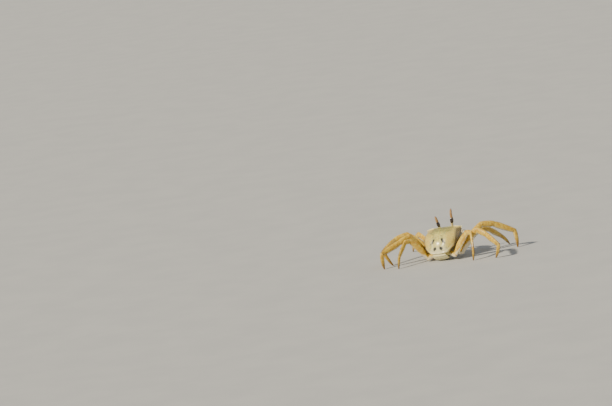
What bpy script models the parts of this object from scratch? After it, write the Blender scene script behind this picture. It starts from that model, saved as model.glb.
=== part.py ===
"""A horned ghost crab standing on the tips of its eight walking legs.

The crab faces -Y, its left is +X and +Z is up. Sizes below are millimetres and degrees, and
the meshes are in metres. The shell is built in the body's own axes, x to the left, -y forward
and z towards the back, and then pitched, with the front raised. Each leg is a chain of four
segments whose ends are cut on the plane that halves the bend, with a narrow gap between them.
"""

import math

import bmesh
import bpy
from mathutils import Matrix, Vector

MM = 0.001
GAP = 0.3
RING_SIDES = 12
CORNER_REACH = 0.6

# Driving dimensions of the body
SHELL_WIDTH = 48.0
BODY_PITCH = 26.5
BODY_ROLL = 3.7
BODY_HEIGHT = 21.0
SPLIT_LEVEL = -4.2
BELLY_LEVEL = -13.6
BELLY_SLOPE = 0.1

# Half outlines seen from above, front to rear: half-width as a share of half the shell's width,
# and distance forward in millimetres
RIM_OUTLINE = [(0.0, 22.0), (0.12, 21.6), (0.22, 19.6), (0.5, 19.0), (0.77, 18.2), (0.9, 17.2),
               (0.95, 12.0), (0.99, 6.0), (0.97, 0.0), (0.85, -7.0), (0.72, -13.0), (0.55, -18.0),
               (0.34, -21.0), (0.0, -22.0)]
SPLIT_OUTLINE = [(0.0, 16.6), (0.36, 16.6), (0.7, 15.2), (0.86, 12.0), (0.88, 6.0), (0.8, -2.0),
                 (0.66, -9.5), (0.45, -16.0), (0.22, -19.4), (0.0, -20.0)]
FLANK_OUTLINE = [(0.0, 16.0), (0.36, 16.0), (0.58, 13.6), (0.64, 8.0), (0.63, 0.0), (0.56, -8.0),
                 (0.42, -14.0), (0.22, -17.4), (0.0, -18.0)]
BELLY_OUTLINE = [(0.0, 12.0), (0.26, 11.0), (0.38, 6.0), (0.4, 0.0), (0.36, -8.0), (0.26, -13.0),
                 (0.12, -15.2), (0.0, -15.6)]

# Undercut below the edge, as a share of the way to the split: at the sides and at the front
BROW_INSET = (0.45, 0.86)
BROW_DROP = 0.2

# Height of the back along its midline and along its edge, by distance forward
MIDLINE_HEIGHTS = [(-22.0, -2.0), (-17.5, 5.0), (-10.0, 10.6), (-2.0, 12.8), (6.0, 12.6),
                   (14.0, 10.4), (22.0, 6.0)]
EDGE_HEIGHTS = [(-22.0, -2.0), (-13.0, 0.6), (0.0, 3.6), (10.0, 4.8), (17.4, 5.2), (22.0, 6.0)]

# Walking legs, by number: where the merus starts on the left side of the body
LEG_ROOTS = {2: (21.5, 10.0, -12.0), 3: (23.0, 1.0, -12.5), 4: (23.0, -8.0, -12.0),
             5: (17.5, -17.0, -9.5)}
COXA_ROOTS = {2: (9.0, 7.0, -9.5), 3: (9.0, 0.5, -9.5), 4: (8.5, -6.0, -9.5), 5: (7.5, -10.5, -7.6)}

# Lengths of merus, carpus, propodus and dactylus
LEG_LENGTHS = {2: (30.0, 11.5, 22.5, 17.5), 3: (35.0, 15.0, 27.5, 20.5),
               4: (33.5, 13.5, 26.5, 18.5), 5: (31.5, 7.0, 19.5, 15.5)}

# Girth of each leg, as a share of the fourth pair's
LEG_GIRTHS = {2: 0.88, 3: 1.0, 4: 1.0, 5: 0.8}

# Segment sections of the fourth pair: share of the length, height and thickness
COXA_SECTIONS = [(0.0, 8.0, 7.6), (1.0, 6.4, 5.6)]
MERUS_SECTIONS = [(0.0, 6.2, 5.0), (0.16, 6.8, 4.6), (0.45, 9.2, 4.6), (0.8, 8.2, 4.4), (1.0, 6.8, 4.2)]
CARPUS_SECTIONS = [(0.0, 6.8, 4.2), (0.35, 7.2, 4.6), (0.7, 7.2, 4.6), (1.0, 6.6, 4.0)]
PROPODUS_SECTIONS = [(0.0, 6.6, 4.0), (0.2, 7.2, 4.0), (0.6, 6.6, 3.7), (0.85, 5.6, 3.4), (1.0, 4.6, 3.2)]
DACTYLUS_SECTIONS = [(0.0, 4.8, 3.4), (0.2, 4.8, 3.4), (0.6, 3.8, 2.8), (0.88, 2.4, 2.0), (1.0, 1.4, 1.4)]
MERUS_ARCH = 0.8
DACTYLUS_ARCH = 0.7

# Stance of each leg: heading of the merus from straight sideways towards the front, rise of
# merus, carpus and dactylus above the level, lean of the leg's plane towards the front, and
# turn of the heading beyond the knee. The propodus takes the rise that brings the tip down
# to the floor.
STANCES = {
    ("left", 2): (37.5, 27, -26, -42, 3, 16),
    ("left", 3): (-12, 42, -15, -112, -18, -56),
    ("left", 4): (-44, 54.5, -21, -92, 0, -4),
    ("left", 5): (-38, 51, 0, -73, 0, -38),
    ("right", 2): (53.5, 25, -23, -45, 1, 15),
    ("right", 3): (44, 41.5, -8, -87, -2, -8),
    ("right", 4): (1, 48.5, -24, -119, 1, -34),
    ("right", 5): (2, 56, -3, -93, -5, -60),
}

# Eyes: root, and the elbow, leaning and lengths of each, given for the left side of the body
EYE_ROOT = (4.6, 18.6, 1.6)
EYE_ELBOWS = {"left": (7.4, 21.0, 5.2), "right": (7.7, 22.0, 2.8)}
EYE_LEANS = {"left": (3.4, -3.4, 17.0), "right": (1.0, 0.6, 23.6)}
EYE_LENGTHS = {"left": (2.5, 6.8, 7.0), "right": (6.2, 7.4, 10.4)}
STALK_SECTIONS = [(0.0, 3.0, 2.8), (0.55, 3.2, 2.9), (1.0, 3.8, 3.2)]
CORNEA_SECTIONS = [(0.0, 3.8, 3.2), (0.25, 4.8, 4.0), (0.6, 4.6, 3.8), (0.86, 3.4, 3.0), (1.0, 2.6, 2.4)]
HORN_SECTIONS = [(0.0, 3.1, 2.9), (0.35, 3.1, 2.9), (0.8, 2.6, 2.4), (1.0, 1.2, 1.2)]

# Claws: joints of the left one, and the size of each; the right claw is the larger
CLAW_JOINTS = [(8.0, 11.5, -9.5), (13.2, 17.2, -10.8), (17.4, 25.2, -12.6), (14.8, 32.2, -12.2)]
CLAW_REACH = {"left": (-7.0, 9.0, -15.0), "right": (-11.0, 8.0, -14.0)}
CLAW_LENGTHS = {"left": 24.0, "right": 29.0}
CLAW_GIRTHS = {"left": 0.8, "right": 1.0}
CLAW_COXA_SECTIONS = [(0.0, 7.0, 7.0), (1.0, 6.0, 6.0)]
ARM_SECTIONS = [(0.0, 5.6, 5.6), (0.5, 7.4, 6.4), (0.85, 7.4, 6.0), (1.0, 6.4, 5.4)]
WRIST_SECTIONS = [(0.0, 6.4, 5.4), (0.34, 8.0, 7.0), (0.68, 8.0, 7.0), (1.0, 7.0, 5.6)]
PALM_SECTIONS = [(0.0, 7.0, 5.6), (0.15, 11.0, 7.0), (0.32, 14.5, 8.0), (0.5, 14.5, 7.6)]
FIXED_FINGER_SECTIONS = [(0.51, 6.6, 5.8), (0.75, 4.6, 4.2), (0.92, 2.8, 2.6), (1.0, 1.6, 1.6)]
FIXED_FINGER_DROPS = [4.0, 4.4, 3.4, 2.4]
FINGER_SECTIONS = [(0.0, 6.2, 5.0), (0.3, 5.4, 4.4), (0.7, 3.8, 3.2), (1.0, 1.5, 1.5)]
FINGER_ROOT = (0.515, 3.8)
FINGER_TIP = (0.98, 0.6)
FINGER_ARCH = 2.6

# Mouth plates, feelers and the folded abdomen, in the body's axes; the wall behind the plates
# is given as its distance forward at their top, and what it gains for each millimetre upwards
MOUTH_PLATE = {"inner": 0.2, "outer": 7.6, "top": -0.8, "bottom": -11.0, "thickness": 2.0}
MOUTH_WALL = (17.35, 0.1)
FEELER_ROOT = (9.6, 18.1, -0.6)
FEELER_TIP = (11.4, 23.4, -1.6)
FEELER_SECTIONS = [(0.0, 1.8, 1.8), (0.4, 1.3, 1.3), (1.0, 0.7, 0.7)]
ABDOMEN_PATH = [(-20.8, -5.0, 10.0), (-18.9, -9.2, 10.0), (-16.4, -11.5, 9.4),
                (-9.0, -12.3, 7.6), (0.0, -13.2, 5.4), (7.0, -13.8, 2.6)]
ABDOMEN_THICKNESS = 1.5

MATERIALS = {
    "carapace_shell": ((0.66, 0.56, 0.31, 1.0), 0.42),
    "under_shell": ((0.78, 0.75, 0.66, 1.0), 0.5),
    "leg_shell": ((0.72, 0.47, 0.17, 1.0), 0.42),
    "claw_shell": ((0.80, 0.70, 0.48, 1.0), 0.42),
    "cornea_black": ((0.02, 0.012, 0.01, 1.0), 0.18),
    "horn_tan": ((0.42, 0.21, 0.10, 1.0), 0.45),
}


def make_material(name):
    """Make one Principled material from the table."""
    color, roughness = MATERIALS[name]
    material = bpy.data.materials.new(name)
    material.use_nodes = True
    shader = material.node_tree.nodes["Principled BSDF"]
    shader.inputs["Base Color"].default_value = color
    shader.inputs["Roughness"].default_value = roughness
    shader.inputs["Metallic"].default_value = 0.0
    material.diffuse_color = color
    return material


def curve_value(points, where):
    """Read a smooth curve that runs through the points, by Hermite pieces."""
    if where <= points[0][0]:
        return points[0][1]
    if where >= points[-1][0]:
        return points[-1][1]
    slopes = []
    for index in range(len(points)):
        low = points[max(index - 1, 0)]
        high = points[min(index + 1, len(points) - 1)]
        slopes.append((high[1] - low[1]) / (high[0] - low[0]))
    index = max(i for i in range(len(points) - 1) if points[i][0] <= where)
    (x0, y0), (x1, y1) = points[index], points[index + 1]
    span = x1 - x0
    t = (where - x0) / span
    rise = y0 * (2 * t ** 3 - 3 * t ** 2 + 1) + y1 * (3 * t ** 2 - 2 * t ** 3)
    return rise + span * (slopes[index] * (t ** 3 - 2 * t ** 2 + t) + slopes[index + 1] * (t ** 3 - t ** 2))


def closed_outline(half, count):
    """Sample a half outline evenly and mirror it into a closed ring of (x, forward) points."""
    lengths = [0.0]
    corners = [(share * SHELL_WIDTH / 2, forward) for share, forward in half]
    for (x0, f0), (x1, f1) in zip(corners, corners[1:]):
        lengths.append(lengths[-1] + math.hypot(x1 - x0, f1 - f0))
    xs = [(length, corner[0]) for length, corner in zip(lengths, corners)]
    forwards = [(length, corner[1]) for length, corner in zip(lengths, corners)]
    side = []
    for step in range(count + 1):
        where = lengths[-1] * step / count
        side.append((curve_value(xs, where), curve_value(forwards, where)))
    return side + [(-x, forward) for x, forward in side[-2:0:-1]]


def body_point(x, forward, up):
    """A point in the body's own axes."""
    return Vector((x, -forward, up))


def back_height(x, forward, half_width):
    """Height of the back, from the midline's profile down to the edge's."""
    middle = curve_value(MIDLINE_HEIGHTS, forward)
    edge = curve_value(EDGE_HEIGHTS, forward)
    share = min(abs(x) / half_width, 1.0)
    return edge + (middle - edge) * (1.0 - share ** 2.6) ** 0.62


def half_width_at(forward):
    """Half the shell's width at a distance forward."""
    rear_to_front = sorted((f, share * SHELL_WIDTH / 2) for share, f in RIM_OUTLINE)
    inside = [(f, w) for f, w in rear_to_front if -22.0 < f < 17.5]
    return max(curve_value(inside, forward), 1.0)


def loft(rings, close_start=True, close_end=True, start_point=None, end_point=None):
    """Join rings of points into one closed mesh, with flat caps or with end points."""
    mesh = bmesh.new()
    loops = [[mesh.verts.new(point * MM) for point in ring] for ring in rings]
    count = len(loops[0])
    for lower, upper in zip(loops, loops[1:]):
        for index in range(count):
            following = (index + 1) % count
            mesh.faces.new((lower[index], lower[following], upper[following], upper[index]))
    for loop, point, wanted in ((loops[0], start_point, close_start), (loops[-1], end_point, close_end)):
        if point is not None:
            apex = mesh.verts.new(point * MM)
            for index in range(count):
                mesh.faces.new((loop[index], loop[(index + 1) % count], apex))
        elif wanted:
            mesh.faces.new(loop)
    bmesh.ops.recalc_face_normals(mesh, faces=mesh.faces)
    if mesh.calc_volume(signed=True) < 0:
        bmesh.ops.reverse_faces(mesh, faces=mesh.faces)
    return mesh


def add_object(name, mesh, material, parent, matrix=None):
    """Turn a bmesh into a named object with its material, below its parent."""
    data = bpy.data.meshes.new(name)
    mesh.to_mesh(data)
    mesh.free()
    data.materials.append(material)
    data.shade_smooth()
    data.set_sharp_from_angle(angle=math.radians(40))
    item = bpy.data.objects.new(name, data)
    bpy.context.scene.collection.objects.link(item)
    item.parent = parent
    if matrix is not None:
        item.matrix_local = matrix
    return item


def segment_mesh(length, sections, start_plane, end_plane, girth=1.0, arch=0.0):
    """A leg segment along local x: y is its thickness and z its height.

    Each plane is a cut's direction in local axes, pointing along +x, and the clearance that it
    leaves. On the outer side of a sharp bend the corner is bevelled.
    """
    start_normal, start_gap = start_plane
    end_normal, end_gap = end_plane
    rings = []
    for index, (share, height, thickness) in enumerate(sections):
        ring = []
        for step in range(RING_SIDES):
            angle = 2 * math.pi * (step + 0.5) / RING_SIDES
            y = girth * thickness / 2 * math.cos(angle)
            z = girth * height / 2 * math.sin(angle)
            x = length * share
            corner = CORNER_REACH * girth * height / 2
            if index == 0:
                x = max((start_gap - start_normal.y * y - start_normal.z * z) / start_normal.x, -corner)
            if index == len(sections) - 1:
                cut_back = (end_gap + end_normal.y * y + end_normal.z * z) / end_normal.x
                x = length - max(cut_back, -corner)
            ring.append(Vector((x, y, z + arch * 4 * share * (1 - share))))
        rings.append(ring)
    start_point = Vector((start_gap / start_normal.x, 0.0, 0.0))
    end_point = Vector((length - end_gap / end_normal.x, 0.0, 0.0))
    return loft(rings, start_point=start_point, end_point=end_point)


def segment_frame(start, along, height_hint):
    """A matrix whose x runs along the segment and whose z is nearest to the hint."""
    along = along.normalized()
    across = height_hint.cross(along).normalized()
    upward = along.cross(across)
    matrix = Matrix((along, across, upward)).transposed().to_4x4()
    matrix.translation = start * MM
    return matrix


def cut_normal(first, second):
    """The direction of the plane that halves the bend between two segments."""
    return (first.normalized() + second.normalized()).normalized()


def chain_objects(names, joints, hints, sections, materials, parent, girth, arches, ends):
    """Build segments between joints, each cut on the plane that halves its bends.

    ends holds the first and the last cut, each as a direction and a clearance.
    """
    spans = [after - before for before, after in zip(joints, joints[1:])]
    cuts = [ends[0]]
    cuts += [(cut_normal(first, second), GAP / 2) for first, second in zip(spans, spans[1:])]
    cuts.append(ends[1])
    made = []
    for index, name in enumerate(names):
        frame = segment_frame(joints[index], spans[index], hints[index])
        turn_back = frame.to_3x3().transposed()
        planes = [(turn_back @ direction, clearance) for direction, clearance in cuts[index:index + 2]]
        mesh = segment_mesh(spans[index].length, sections[index], planes[0], planes[1], girth, arches[index])
        made.append(add_object(name, mesh, materials[index], parent, frame))
    return made


def leg_joints(root, number, side, stance):
    """Joints of a standing leg from its root to its tip, and the upward hint of each segment."""
    heading, merus, carpus, dactylus, lean, turn = [math.radians(value) for value in stance]
    lengths = LEG_LENGTHS[number]
    sign = 1.0 if side == "left" else -1.0
    drop = lengths[0] * math.sin(merus) + lengths[1] * math.sin(carpus) + lengths[3] * math.sin(dactylus)
    propodus = math.asin(-(root.z / math.cos(lean) + drop) / lengths[2])
    joints = [root]
    hints = []
    for length, rise, share in zip(lengths, (merus, carpus, propodus, dactylus), (0.0, 0.5, 1.0, 1.0)):
        bearing = heading + share * turn
        outward = Vector((sign * math.cos(bearing), -math.sin(bearing), 0.0))
        forward = Vector((0.0, 0.0, 1.0)).cross(outward) * sign
        upward = math.cos(lean) * Vector((0.0, 0.0, 1.0)) + math.sin(lean) * forward
        along = math.cos(rise) * outward + math.sin(rise) * upward
        joints.append(joints[-1] + along * length)
        hints.append(math.cos(rise) * upward - math.sin(rise) * outward)
    return joints, hints


def build_carapace(material, parent):
    """The upper shell: domed back, overhanging edge and the upper half of the walls."""
    rim = closed_outline(RIM_OUTLINE, 22)
    split = closed_outline(SPLIT_OUTLINE, 22)
    rings = []
    for share in (0.2, 0.4, 0.58, 0.74, 0.87, 0.955, 1.0):
        ring = []
        for x, forward in rim:
            spot = (x * share, forward * share)
            ring.append(body_point(*spot, back_height(*spot, half_width_at(spot[1]))))
        rings.append(ring)
    brow = []
    for edge, (x0, f0), (x1, f1) in zip(rings[-1], rim, split):
        inset = BROW_INSET[0] + (BROW_INSET[1] - BROW_INSET[0]) * (max(f0, 0.0) / 22.0) ** 2
        brow.append(body_point(x0 + (x1 - x0) * inset, f0 + (f1 - f0) * inset,
                               edge.z + (SPLIT_LEVEL - edge.z) * BROW_DROP))
    rings.append(brow)
    rings.append([body_point(x, forward, SPLIT_LEVEL) for x, forward in split])
    top = body_point(0.0, 0.0, back_height(0.0, 0.0, SHELL_WIDTH / 2))
    return add_object("carapace", loft(rings, close_start=False, start_point=top), material, parent)


def build_sternum(material, parent):
    """The lower shell, one solid with the short coxa of each leg and claw."""
    levels = ((SPLIT_OUTLINE, SPLIT_LEVEL - GAP), (FLANK_OUTLINE, -9.0), (BELLY_OUTLINE, BELLY_LEVEL))
    rings = []
    for outline, level in levels:
        slope = BELLY_SLOPE if level == BELLY_LEVEL else 0.0
        ring = []
        for x, forward in closed_outline(outline, 18):
            ring.append(body_point(x, forward, level + slope * (BELLY_OUTLINE[0][1] - forward)))
        rings.append(ring)
    return add_object("sternum", loft(rings), material, parent)


def build_coxa(sternum, root, base, next_direction, sections, girth):
    """Weld one coxa, a short stub that ends at the first joint, to the sternum."""
    span = base - root
    frame = segment_frame(root, span, Vector((0.0, 0.0, 1.0)))
    turn_back = frame.to_3x3().transposed()
    cut = turn_back @ cut_normal(span, next_direction)
    mesh = segment_mesh(span.length, sections, (Vector((1.0, 0.0, 0.0)), 0.0), (cut, GAP / 2), girth)
    stub = add_object("coxa", mesh, sternum.data.materials[0], sternum.parent, frame)
    bpy.context.view_layer.update()
    union = sternum.modifiers.new("coxa", "BOOLEAN")
    union.operation = "UNION"
    union.object = stub
    depsgraph = bpy.context.evaluated_depsgraph_get()
    welded = bpy.data.meshes.new_from_object(sternum.evaluated_get(depsgraph))
    sternum.modifiers.clear()
    sternum.data = welded
    bpy.data.objects.remove(stub, do_unlink=True)


def build_leg(sternum, number, side, materials, axes, stance_frame):
    """One walking leg, placed in the standing frame, and its coxa on the sternum."""
    sign = 1.0 if side == "left" else -1.0
    x, forward, up = LEG_ROOTS[number]
    base = body_point(sign * x, forward, up)
    x, forward, up = COXA_ROOTS[number]
    root = body_point(sign * x, forward, up)
    standing = axes @ (base * MM) / MM
    joints, hints = leg_joints(standing, number, side, STANCES[side, number])
    turn_back = axes.to_3x3().transposed()
    girth = LEG_GIRTHS[number]
    build_coxa(sternum, root, base, turn_back @ (joints[1] - joints[0]), COXA_SECTIONS, girth)
    coxa_direction = axes.to_3x3() @ (base - root)
    first_cut = (cut_normal(coxa_direction, joints[1] - joints[0]), GAP / 2)
    floor_cut = (Vector((0.0, 0.0, -1.0)), 0.0)
    names = [f"{side}_leg_{number}_{part}" for part in ("merus", "carpus", "propodus", "dactylus")]
    sections = (MERUS_SECTIONS, CARPUS_SECTIONS, PROPODUS_SECTIONS, DACTYLUS_SECTIONS)
    arches = (MERUS_ARCH, 0.0, 0.0, DACTYLUS_ARCH)
    shells = [materials["leg_shell"]] * 4
    ends = (first_cut, floor_cut)
    chain_objects(names, joints, hints, sections, shells, stance_frame, girth, arches, ends)


def build_eye(side, materials, parent):
    """Bent stalk, dark cornea and the pointed horn above it."""
    sign = 1.0 if side == "left" else -1.0
    root = body_point(sign * EYE_ROOT[0], EYE_ROOT[1], EYE_ROOT[2])
    x, forward, up = EYE_ELBOWS[side]
    elbow = body_point(sign * x, forward, up)
    outward, forward, upward = EYE_LEANS[side]
    level = Vector((sign * outward, -forward, upward)).normalized()
    unrolled = Matrix.Rotation(math.radians(-BODY_ROLL), 3, "Y") @ level
    direction = Matrix.Rotation(math.radians(BODY_PITCH), 3, "X") @ unrolled
    joints = [root, elbow]
    for length in EYE_LENGTHS[side]:
        joints.append(joints[-1] + direction * length)
    hint = body_point(0.0, -1.0, 0.0)
    stalk_rings = []
    bend = direction + (elbow - root).normalized()
    for centre, along, width in ((root, elbow - root, 2.6), (elbow, bend, 3.0)):
        frame = segment_frame(centre, along, hint)
        stalk_rings.append(frame_ring(frame, centre, width, width * 0.94, 0.0))
    for share, height, thickness in STALK_SECTIONS[1:]:
        centre = elbow.lerp(joints[2], share)
        clearance = -GAP / 2 if share == 1.0 else 0.0
        frame = segment_frame(centre, direction, hint)
        stalk_rings.append(frame_ring(frame, centre, height, thickness, clearance))
    add_object(f"{side}_eyestalk", loft(stalk_rings), materials["carapace_shell"], parent)
    names = [f"{side}_cornea", f"{side}_horn"]
    square = (direction, GAP / 2)
    chain_objects(names, joints[2:], [hint, hint], (CORNEA_SECTIONS, HORN_SECTIONS),
                  [materials["cornea_black"], materials["horn_tan"]], parent, 1.0, (0.0, 0.0),
                  (square, (direction, 0.0)))


def frame_ring(frame, centre, height, thickness, shift):
    """A ring of points square to a frame's x axis."""
    turn = frame.to_3x3()
    ring = []
    for step in range(RING_SIDES):
        angle = 2 * math.pi * (step + 0.5) / RING_SIDES
        offset = Vector((shift, thickness / 2 * math.cos(angle), height / 2 * math.sin(angle)))
        ring.append(centre + turn @ offset)
    return ring


def build_claw(sternum, side, materials, parent):
    """Arm, wrist, palm with its fixed finger, and the moving finger of one claw."""
    sign = 1.0 if side == "left" else -1.0
    girth = CLAW_GIRTHS[side]
    joints = [body_point(sign * x, forward, up) for x, forward, up in CLAW_JOINTS]
    x, forward, up = CLAW_REACH[side]
    reach = body_point(sign * x, forward, up).normalized()
    length = CLAW_LENGTHS[side]
    tip = joints[-1] + reach * length
    build_coxa(sternum, joints[0], joints[1], joints[2] - joints[1], CLAW_COXA_SECTIONS, girth)
    first_cut = (cut_normal(joints[1] - joints[0], joints[2] - joints[1]), GAP / 2)
    last_cut = (cut_normal(joints[3] - joints[2], reach), GAP / 2)
    hint = body_point(0.0, 0.3, 1.0)
    shells = [materials["claw_shell"]] * 2
    chain_objects([f"{side}_claw_arm", f"{side}_claw_wrist"], joints[1:], [hint] * 2,
                  (ARM_SECTIONS, WRIST_SECTIONS), shells, parent, girth, (0.0, 0.0), (first_cut, last_cut))
    frame = segment_frame(joints[3], tip - joints[3], hint)
    cut = frame.to_3x3().transposed() @ last_cut[0]
    rings = []
    for index, (share, height, thickness) in enumerate(PALM_SECTIONS):
        wrist_cut = cut if index == 0 else None
        rings.append(palm_ring(length * share, height * girth, thickness * girth, 0.0, wrist_cut))
    for (share, height, thickness), drop in zip(FIXED_FINGER_SECTIONS, FIXED_FINGER_DROPS):
        rings.append(palm_ring(length * share, height * girth, thickness * girth, -drop * girth, None))
    add_object(f"{side}_claw_palm", loft(rings), materials["claw_shell"], parent, frame)
    start = Vector((length * FINGER_ROOT[0], 0.0, FINGER_ROOT[1] * girth))
    end = Vector((length * FINGER_TIP[0], 0.0, FINGER_TIP[1] * girth))
    local = segment_frame(start, end - start, Vector((0.0, 0.0, 1.0)))
    face = local.to_3x3().transposed() @ Vector((1.0, 0.0, 0.0))
    mesh = segment_mesh((end - start).length, FINGER_SECTIONS, (face, GAP), (Vector((1.0, 0.0, 0.0)), 0.0),
                        girth, FINGER_ARCH * girth)
    add_object(f"{side}_claw_finger", mesh, materials["claw_shell"], parent, frame @ local)


def palm_ring(x, height, thickness, middle, cut):
    """One ring of the palm; the first lies on the cut at the wrist."""
    ring = []
    for step in range(RING_SIDES):
        angle = 2 * math.pi * (step + 0.5) / RING_SIDES
        y = thickness / 2 * math.cos(angle)
        z = height / 2 * math.sin(angle)
        along = x if cut is None else (GAP / 2 - cut.y * y - cut.z * z) / cut.x
        ring.append(Vector((along, y, z + middle)))
    return ring


def build_mouth(side, material, parent):
    """One outer mouth plate, a rounded slab on the front wall."""
    sign = 1.0 if side == "left" else -1.0
    inner, outer = MOUTH_PLATE["inner"], MOUTH_PLATE["outer"]
    top, bottom = MOUTH_PLATE["top"], MOUTH_PLATE["bottom"]
    middle_x, middle_z = (inner + outer) / 2, (top + bottom) / 2
    half_x, half_z = (outer - inner) / 2, (top - bottom) / 2
    rings = []
    for depth, shrink in ((0.0, 1.0), (0.7, 1.0), (1.0, 0.8)):
        ring = []
        for step in range(16):
            angle = 2 * math.pi * (step + 0.5) / 16
            x = middle_x + half_x * shrink * round_square(math.cos(angle))
            z = middle_z + half_z * shrink * round_square(math.sin(angle))
            wall = MOUTH_WALL[0] + MOUTH_WALL[1] * (z - top)
            ring.append(body_point(sign * x, wall + MOUTH_PLATE["thickness"] * depth, z))
        rings.append(ring)
    add_object(f"{side}_mouth_plate", loft(rings), material, parent)


def round_square(value):
    """Push a circle's coordinate outwards, towards a square with round corners."""
    return math.copysign(abs(value) ** 0.55, value)


def build_feeler(side, material, parent):
    """One short feeler between the eye and the mouth."""
    sign = 1.0 if side == "left" else -1.0
    root = body_point(sign * FEELER_ROOT[0], FEELER_ROOT[1], FEELER_ROOT[2])
    tip = body_point(sign * FEELER_TIP[0], FEELER_TIP[1], FEELER_TIP[2])
    frame = segment_frame(root, tip - root, Vector((0.0, 0.0, 1.0)))
    square = (Vector((1.0, 0.0, 0.0)), 0.0)
    mesh = segment_mesh((tip - root).length, FEELER_SECTIONS, square, square)
    add_object(f"{side}_feeler", mesh, material, parent, frame)


def build_abdomen(material, parent):
    """The narrow abdomen, folded round the rear and under the belly."""
    rings = []
    for index, (forward, up, half_width) in enumerate(ABDOMEN_PATH):
        before = ABDOMEN_PATH[max(index - 1, 0)]
        after = ABDOMEN_PATH[min(index + 1, len(ABDOMEN_PATH) - 1)]
        heading = Vector((after[0] - before[0], after[1] - before[1])).normalized()
        outward = Vector((heading.y, -heading.x))
        ring = []
        for x_share, depth in ((-1.0, 0.0), (-0.5, 0.0), (0.5, 0.0), (1.0, 0.0), (1.0, 0.5), (0.6, 1.0),
                               (-0.6, 1.0), (-1.0, 0.5)):
            shift = outward * ABDOMEN_THICKNESS * depth
            ring.append(body_point(x_share * half_width, forward + shift.x, up + shift.y))
        rings.append(ring)
    add_object("abdomen", loft(rings), material, parent)


def settle(stance_frame):
    """Move the whole crab so that its box stands centred on the origin."""
    bpy.context.view_layer.update()
    corners = []
    for item in bpy.data.objects:
        if item.type == "MESH":
            corners += [item.matrix_world @ vertex.co for vertex in item.data.vertices]
    lowest = [min(corner[axis] for corner in corners) for axis in range(3)]
    highest = [max(corner[axis] for corner in corners) for axis in range(3)]
    stance_frame.location = (-(lowest[0] + highest[0]) / 2, -(lowest[1] + highest[1]) / 2, -lowest[2])
    bpy.context.view_layer.update()


def main():
    for item in list(bpy.data.objects):
        bpy.data.objects.remove(item, do_unlink=True)
    materials = {name: make_material(name) for name in MATERIALS}
    stance_frame = bpy.data.objects.new("stance_frame", None)
    bpy.context.scene.collection.objects.link(stance_frame)
    body_axes = bpy.data.objects.new("body_axes", None)
    bpy.context.scene.collection.objects.link(body_axes)
    body_axes.parent = stance_frame
    body_axes.location = (0.0, 0.0, BODY_HEIGHT * MM)
    body_axes.rotation_euler = (math.radians(-BODY_PITCH), math.radians(BODY_ROLL), 0.0)
    bpy.context.view_layer.update()
    axes = body_axes.matrix_world.copy()

    build_carapace(materials["carapace_shell"], body_axes)
    sternum = build_sternum(materials["under_shell"], body_axes)
    build_abdomen(materials["under_shell"], body_axes)
    for side in ("left", "right"):
        build_mouth(side, materials["under_shell"], body_axes)
        build_feeler(side, materials["carapace_shell"], body_axes)
        build_eye(side, materials, body_axes)
        build_claw(sternum, side, materials, body_axes)
        for number in (2, 3, 4, 5):
            build_leg(sternum, number, side, materials, axes, stance_frame)
    settle(stance_frame)


main()
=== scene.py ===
"""Looks of a horned ghost crab: its shell, eyes, claws, legs and bristles, with light and camera.

Sizes are millimetres and degrees until a piece is made, and metres after that. The crab faces
-Y, its left is +X. The body has axes of its own, with the front raised and the left side
lowered, in which a point is given as (x to the left, forward, up). A profile or section lists
its values by share of the length. A pair named for a band, start or side holds the two values
between which a mask rises from 0 to 1.
"""

import math

import bmesh
import bpy
import numpy as np
from mathutils import Matrix, Vector


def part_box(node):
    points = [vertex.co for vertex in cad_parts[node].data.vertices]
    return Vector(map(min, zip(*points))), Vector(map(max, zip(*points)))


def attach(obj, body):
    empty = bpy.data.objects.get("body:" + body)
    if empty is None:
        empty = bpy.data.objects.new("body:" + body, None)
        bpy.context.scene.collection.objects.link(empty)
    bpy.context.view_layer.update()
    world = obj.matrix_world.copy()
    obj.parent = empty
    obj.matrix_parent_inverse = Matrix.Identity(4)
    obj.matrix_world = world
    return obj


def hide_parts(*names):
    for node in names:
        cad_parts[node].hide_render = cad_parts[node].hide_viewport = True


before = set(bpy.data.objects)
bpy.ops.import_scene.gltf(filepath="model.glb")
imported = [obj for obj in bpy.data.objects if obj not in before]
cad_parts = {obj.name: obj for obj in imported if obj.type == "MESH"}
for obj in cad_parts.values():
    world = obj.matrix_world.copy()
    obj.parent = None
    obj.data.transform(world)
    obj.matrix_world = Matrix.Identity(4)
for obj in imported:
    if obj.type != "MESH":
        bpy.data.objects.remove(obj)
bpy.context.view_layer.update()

MM = 0.001
rng = np.random.default_rng(11)

# Body, as in the solids
SHELL_WIDTH = 48.0
BODY_PITCH = math.radians(26.5)
BODY_ROLL = math.radians(3.7)
BODY_HEIGHT = 21.0
SPLIT_LEVEL = -4.2
FLANK_LEVEL = -9.0
BELLY_LEVEL = -13.6
BELLY_SLOPE = 0.1
REAR_POINT = (22.0, -2.0)
WIDEST_POINT = (6.0, 4.3)

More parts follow.
